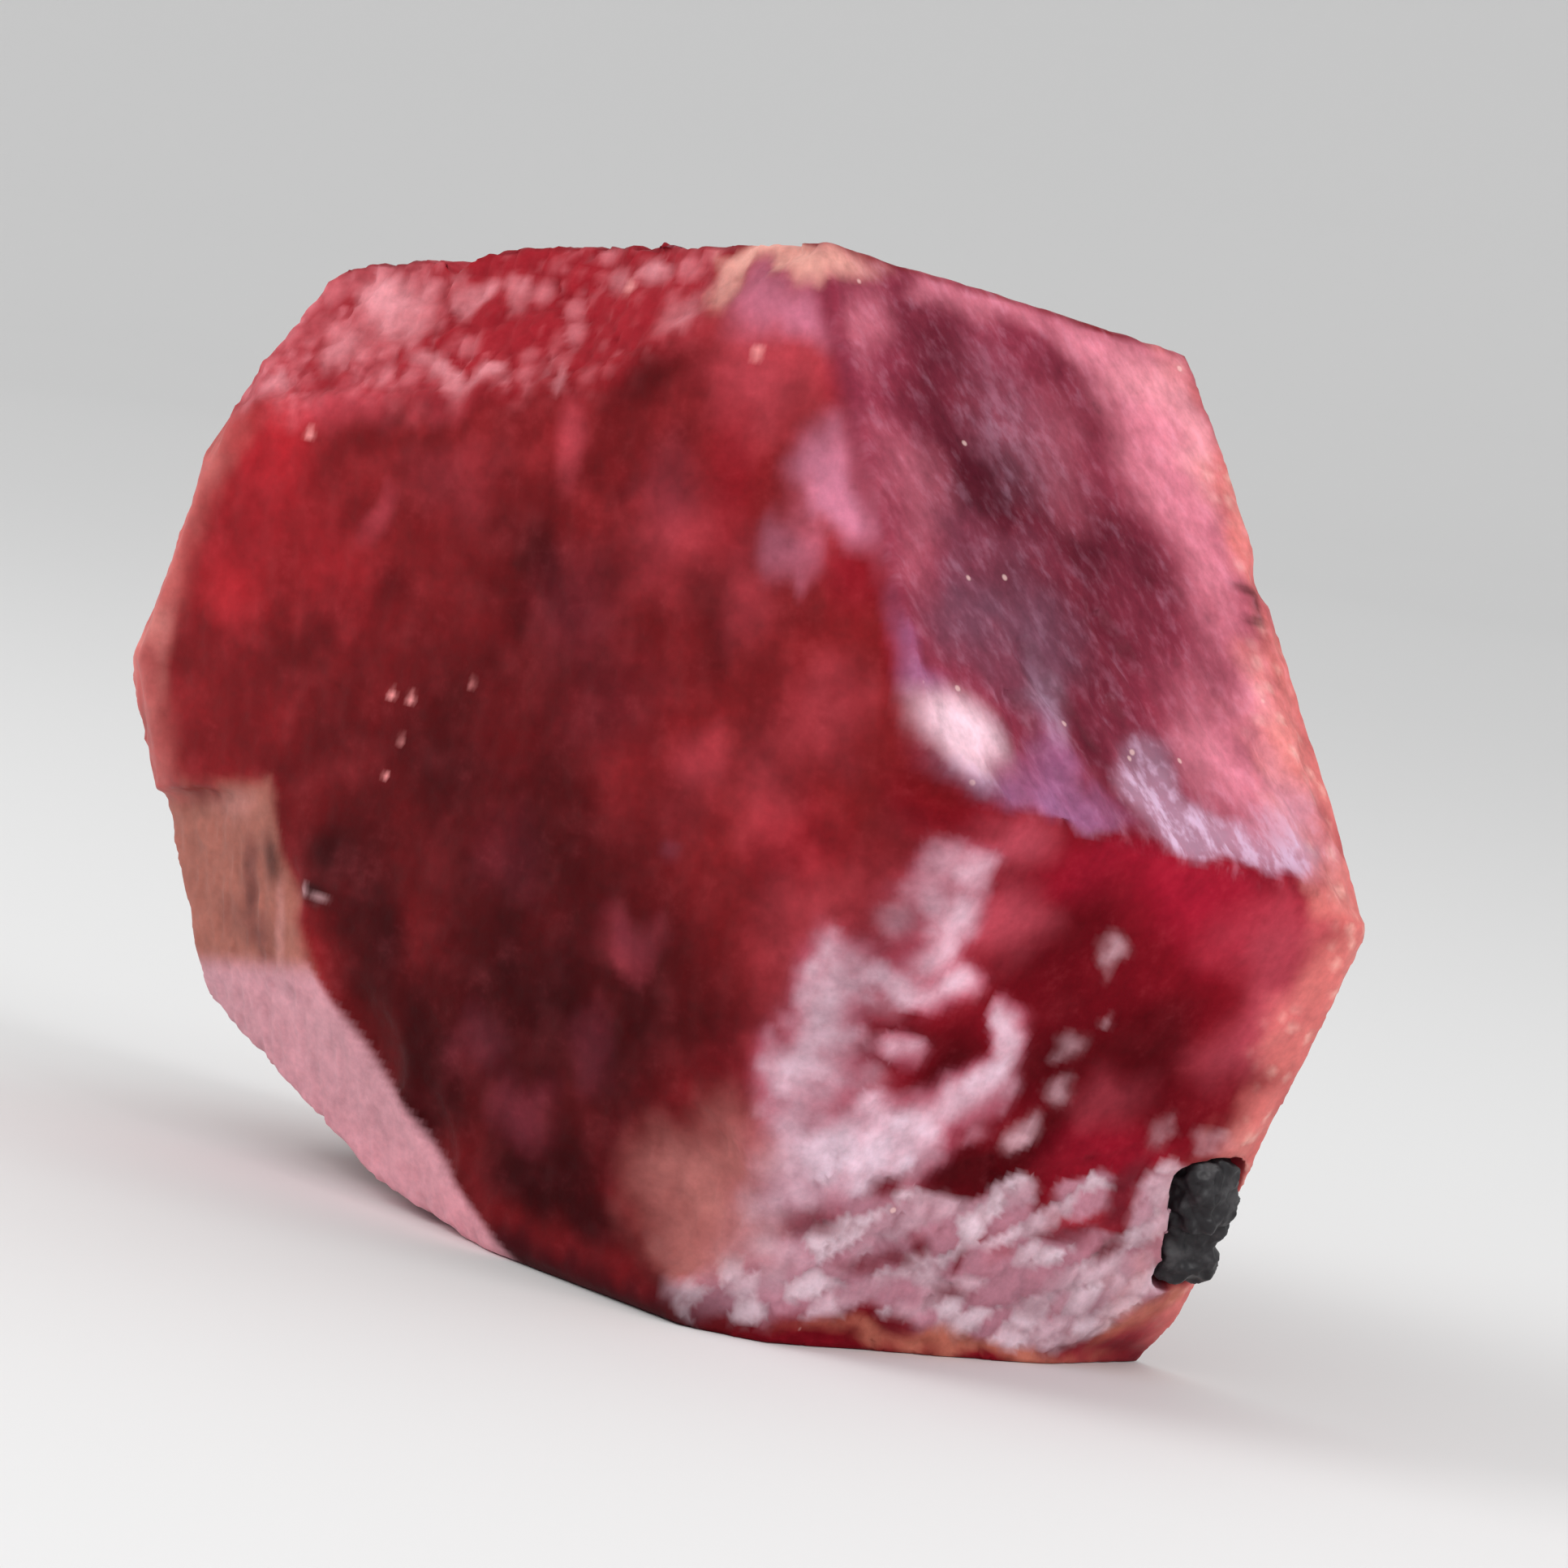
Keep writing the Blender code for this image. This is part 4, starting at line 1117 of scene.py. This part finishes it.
def select_only(obj: bpy.types.Object) -> None:
    """Makes an object the active one, and the only one selected."""
    bpy.ops.object.select_all(action="DESELECT")
    obj.select_set(True)
    bpy.context.view_layer.objects.active = obj


def apply_modifier(obj: bpy.types.Object, kind: str, **settings: object) -> None:
    """Adds a modifier with these settings, and applies it."""
    select_only(obj)
    bpy.ops.object.modifier_add(type=kind)
    modifier = obj.modifiers[-1]
    for name, value in settings.items():
        setattr(modifier, name, value)
    bpy.ops.object.modifier_apply(modifier=modifier.name)


def ease(obj: bpy.types.Object, times: int) -> None:
    """Eases the edges of a mesh."""
    apply_modifier(obj, "SMOOTH", factor=0.5, iterations=times)


def remesh(obj: bpy.types.Object, step: float, softening: int) -> None:
    """Rebuilds a mesh with faces of one size, and eases its edges."""
    apply_modifier(obj, "REMESH", mode="VOXEL", voxel_size=step)
    ease(obj, softening)


def rescale(obj: bpy.types.Object, factor: float) -> None:
    """Scales an object's mesh about the origin."""
    select_only(obj)
    obj.scale = (factor, factor, factor)
    bpy.ops.object.transform_apply(location=False, rotation=False, scale=True)


def copy_solid(node: str, name: str) -> bpy.types.Object:
    """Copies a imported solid, and merges its loose triangles.

    Args:
        node: The solid's name.
        name: The name of the copy.

    Returns:
        The copy, in millimetres.
    """
    select_only(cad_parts[node])
    bpy.ops.object.duplicate()
    copy = bpy.context.view_layer.objects.active
    copy.name = copy.data.name = name
    copy.data.materials.clear()
    rescale(copy, 1.0 / MM)
    bpy.ops.object.mode_set(mode="EDIT")
    bpy.ops.mesh.select_all(action="SELECT")
    bpy.ops.mesh.remove_doubles(threshold=MERGE_DISTANCE)
    bpy.ops.mesh.normals_make_consistent(inside=False)
    bpy.ops.object.mode_set(mode="OBJECT")
    return copy


def read_mesh(obj: bpy.types.Object) -> tuple[np.ndarray, np.ndarray]:
    """The points and the normals of a mesh."""
    count = len(obj.data.vertices)
    points, normals = np.empty(count * 3), np.empty(count * 3)
    obj.data.vertices.foreach_get("co", points)
    obj.data.vertices.foreach_get("normal", normals)
    return points.reshape(-1, 3), normals.reshape(-1, 3)


def finish_piece(piece: bpy.types.Object, node: str) -> None:
    """Brings a piece back to metres, hangs it under the root body, and hides the solid that it replaces.
    """
    rescale(piece, MM)
    bpy.ops.object.shade_smooth()
    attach(piece, "root")
    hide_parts(node)
    LOG.info("%s: %d faces", piece.name, len(piece.data.polygons))


@dataclass
class BerylCrystal:
    """The crystal, with the fine relief of its faces.

    Args:
        axes: Where crystal coordinates lie.
        mesh_step: Size of the faces of its mesh, in millimetres.
        softening: How many times its edges are eased.
        relief: The relief that is sunk in it.
        paint: The colours that its mesh carries.
        finish: Its finish.
    """

    axes: CrystalAxes
    mesh_step: float = 0.068
    softening: int = 4
    relief: CrystalRelief = field(default_factory=CrystalRelief)
    paint: CrystalPaint = field(default_factory=CrystalPaint)
    finish: BerylFinish = field(default_factory=BerylFinish)

    def build(self) -> bpy.types.Object:
        """Builds and dresses the piece."""
        piece = copy_solid("beryl_crystal", "beryl_crystal_surface")
        remesh(piece, self.mesh_step, self.softening)
        solid = copy_solid("beryl_crystal", "beryl_solid")
        apply_modifier(piece, "SHRINKWRAP", target=solid, wrap_method="NEAREST_SURFACEPOINT")
        bpy.data.objects.remove(solid)
        ease(piece, self.softening)
        self.carve(piece)
        piece.data.materials.append(self.finish.make(self.axes))
        finish_piece(piece, "beryl_crystal")
        return piece

    def carve(self, piece: bpy.types.Object) -> None:
        """Sinks the relief in the surface, and stores what the shader reads."""
        points, normals = read_mesh(piece)
        placed = self.axes.to_crystal(points)
        depth = self.relief.depth(placed)
        piece.data.vertices.foreach_set("co", (points - normals * depth[:, None]).ravel())
        values = {RELIEF: np.clip(depth / self.relief.deepest, 0.0, 1.0)}
        values.update(self.paint.paint(placed))
        for name, value in values.items():
            self.store(piece.data, name, value)
        piece.data.update()

    @staticmethod
    def store(mesh: bpy.types.Mesh, name: str, value: np.ndarray) -> None:
        """Stores a number, or a colour, for each point of a mesh."""
        if value.ndim == 1:
            mesh.attributes.new(name, "FLOAT", "POINT").data.foreach_set("value", value)
            return
        colours = np.column_stack([np.clip(value, 0.0, 1.0), np.ones(len(value))])
        made = mesh.attributes.new(name, "FLOAT_COLOR", "POINT")
        made.data.foreach_set("color", colours.ravel())


@dataclass
class BixbyiteGrain:
    """The black grain in the crystal's lower right edge.

    Args:
        axes: Where crystal coordinates lie.
        mesh_step: Size of the faces of its mesh, in millimetres.
        softening: How many times its edges are eased.
        swelling: How far its surface stands out, so that it fills its pocket, in millimetres.
        lump_size: Size of the lumps of its broken surface, in millimetres.
        lump_depth: How far the ridges among the lumps rise, in millimetres.
        finish: Its finish.
    """

    axes: CrystalAxes
    mesh_step: float = 0.022
    softening: int = 4
    swelling: float = 0.015
    lump_size: float = 0.32
    lump_depth: float = 0.10
    finish: BixbyiteFinish = field(default_factory=BixbyiteFinish)

    def build(self) -> bpy.types.Object:
        """Builds and dresses the piece."""
        piece = copy_solid("bixbyite_grain", "bixbyite_grain_surface")
        remesh(piece, self.mesh_step, self.softening)
        points, normals = read_mesh(piece)
        crests = 0.4 - np.abs(Noise.layered(points, self.lump_size, 4, GRAIN_SEED))
        height = self.swelling + self.lump_depth * crests
        piece.data.vertices.foreach_set("co", (points + normals * height[:, None]).ravel())
        piece.data.update()
        piece.data.materials.append(self.finish.make(self.axes))
        finish_piece(piece, "bixbyite_grain")
        return piece


# --- stage


LIT_POINT = (0.0, 0.0, 0.005)


@dataclass
class Studio:
    """The pale floor, which curves up all round, and the soft lights.

    Args:
        floor_radius: Radius of the flat floor, in metres.
        rise: Radius of the curve at its edge, in metres.
        tone: Lightness of the floor.
        roughness: Roughness of the floor.
        sky: Strength of the even light from all round.
        sides: Number of sides of the floor's disc.
        steps: Number of steps in the curve.
    """

    floor_radius: float = 0.55
    rise: float = 0.25
    tone: float = 0.80
    roughness: float = 0.8
    sky: float = 0.75
    sides: int = 96
    steps: int = 8

    def build(self) -> None:
        """Builds the floor, the sky and the lights."""
        self.build_floor()
        self.build_sky()
        self.add_light("key_light", (-0.055, -0.085, 0.085), size=0.060, watts=0.055)
        self.add_light("side_light", (0.095, 0.010, 0.055), size=0.045, watts=0.040)

    def build_floor(self) -> None:
        """Builds the floor from a disc, drawn out and up step by step."""
        bpy.ops.object.select_all(action="DESELECT")
        size = {"vertices": self.sides, "radius": self.floor_radius}
        bpy.ops.mesh.primitive_circle_add(fill_type="NGON", **size)
        floor = bpy.context.view_layer.objects.active
        floor.name = floor.data.name = "floor"
        bpy.ops.object.mode_set(mode="EDIT")
        radius, height = self.floor_radius, 0.0
        for step in range(1, self.steps + 1):
            turn = math.radians(90.0 * step / self.steps)
            wider = self.floor_radius + self.rise * math.sin(turn)
            higher = self.rise * (1.0 - math.cos(turn))
            if step == 1:
                bpy.ops.mesh.select_all(action="SELECT")
                bpy.ops.mesh.region_to_loop()
            bpy.ops.mesh.extrude_edges_move(
                TRANSFORM_OT_translate={"value": (0.0, 0.0, higher - height)}
            )
            grow = wider / radius
            bpy.ops.transform.resize(value=(grow, grow, 1.0), center_override=(0.0, 0.0, 0.0))
            radius, height = wider, higher
        bpy.ops.mesh.select_all(action="SELECT")
        bpy.ops.mesh.normals_make_consistent(inside=True)
        bpy.ops.object.mode_set(mode="OBJECT")
        bpy.ops.object.shade_smooth()
        bench = Bench("pale_floor")
        bench.set("Base Color", (self.tone, self.tone, self.tone))
        bench.set("Roughness", self.roughness)
        floor.data.materials.append(bench.material)

    def build_sky(self) -> None:
        """Lights the scene evenly from all round."""
        world = bpy.data.worlds.new("soft_sky")
        world.use_nodes = True
        background = world.node_tree.nodes["Background"]
        background.inputs["Color"].default_value = (1.0, 1.0, 1.0, 1.0)
        background.inputs["Strength"].default_value = self.sky
        bpy.context.scene.world = world

    @staticmethod
    def add_light(name: str, place: Triple, size: float, watts: float) -> None:
        """Adds a square soft light that looks at the crystal.

        Args:
            name: Its name.
            place: Where it hangs, in metres.
            size: Length of its sides, in metres.
            watts: Its power.
        """
        light = bpy.data.lights.new(name, "AREA")
        light.size = size
        light.energy = watts
        lamp = bpy.data.objects.new(name, light)
        lamp.location = place
        aim = Vector(LIT_POINT) - Vector(place)
        lamp.rotation_euler = aim.to_track_quat("-Z", "Y").to_euler()
        bpy.context.scene.collection.objects.link(lamp)


@dataclass(frozen=True)
class ViewCamera:
    """The camera, at a low angle from the front right, turned a little about its own line.

    Args:
        place: Where it stands, in millimetres.
        target: The point that it looks at, in millimetres.
        roll: Its turn about the line of sight, in degrees.
        lens: Focal length, in millimetres.
        sensor: Width of the sensor, in millimetres.
        reach: The nearest and the farthest that it sees, in metres.
    """

    place: Triple = (46.9, -33.35, 7.8)
    target: Triple = (0.85, 0.42, 4.53)
    roll: float = -9.3
    lens: float = 142.0
    sensor: float = 36.0
    reach: tuple[float, float] = (0.001, 10.0)

    def build(self) -> None:
        """Adds the camera and makes it the scene's own."""
        data = bpy.data.cameras.new("camera")
        data.lens = self.lens
        data.sensor_width = self.sensor
        data.clip_start, data.clip_end = self.reach
        camera = bpy.data.objects.new("camera", data)
        place, target = Vector(self.place) * MM, Vector(self.target) * MM
        turn = (target - place).to_track_quat("-Z", "Y").to_matrix()
        turn = turn @ Matrix.Rotation(math.radians(-self.roll), 3, "Z")
        camera.matrix_world = Matrix.Translation(place) @ turn.to_4x4()
        bpy.context.scene.collection.objects.link(camera)
        bpy.context.scene.camera = camera


def main() -> None:
    """Builds the pieces, the studio and the camera."""
    logging.basicConfig(level=logging.INFO)
    axes = CrystalAxes()
    BerylCrystal(axes).build()
    BixbyiteGrain(axes).build()
    Studio().build()
    ViewCamera().build()
    bpy.context.scene.view_settings.view_transform = "Standard"


if __name__ == "__main__":
    main()
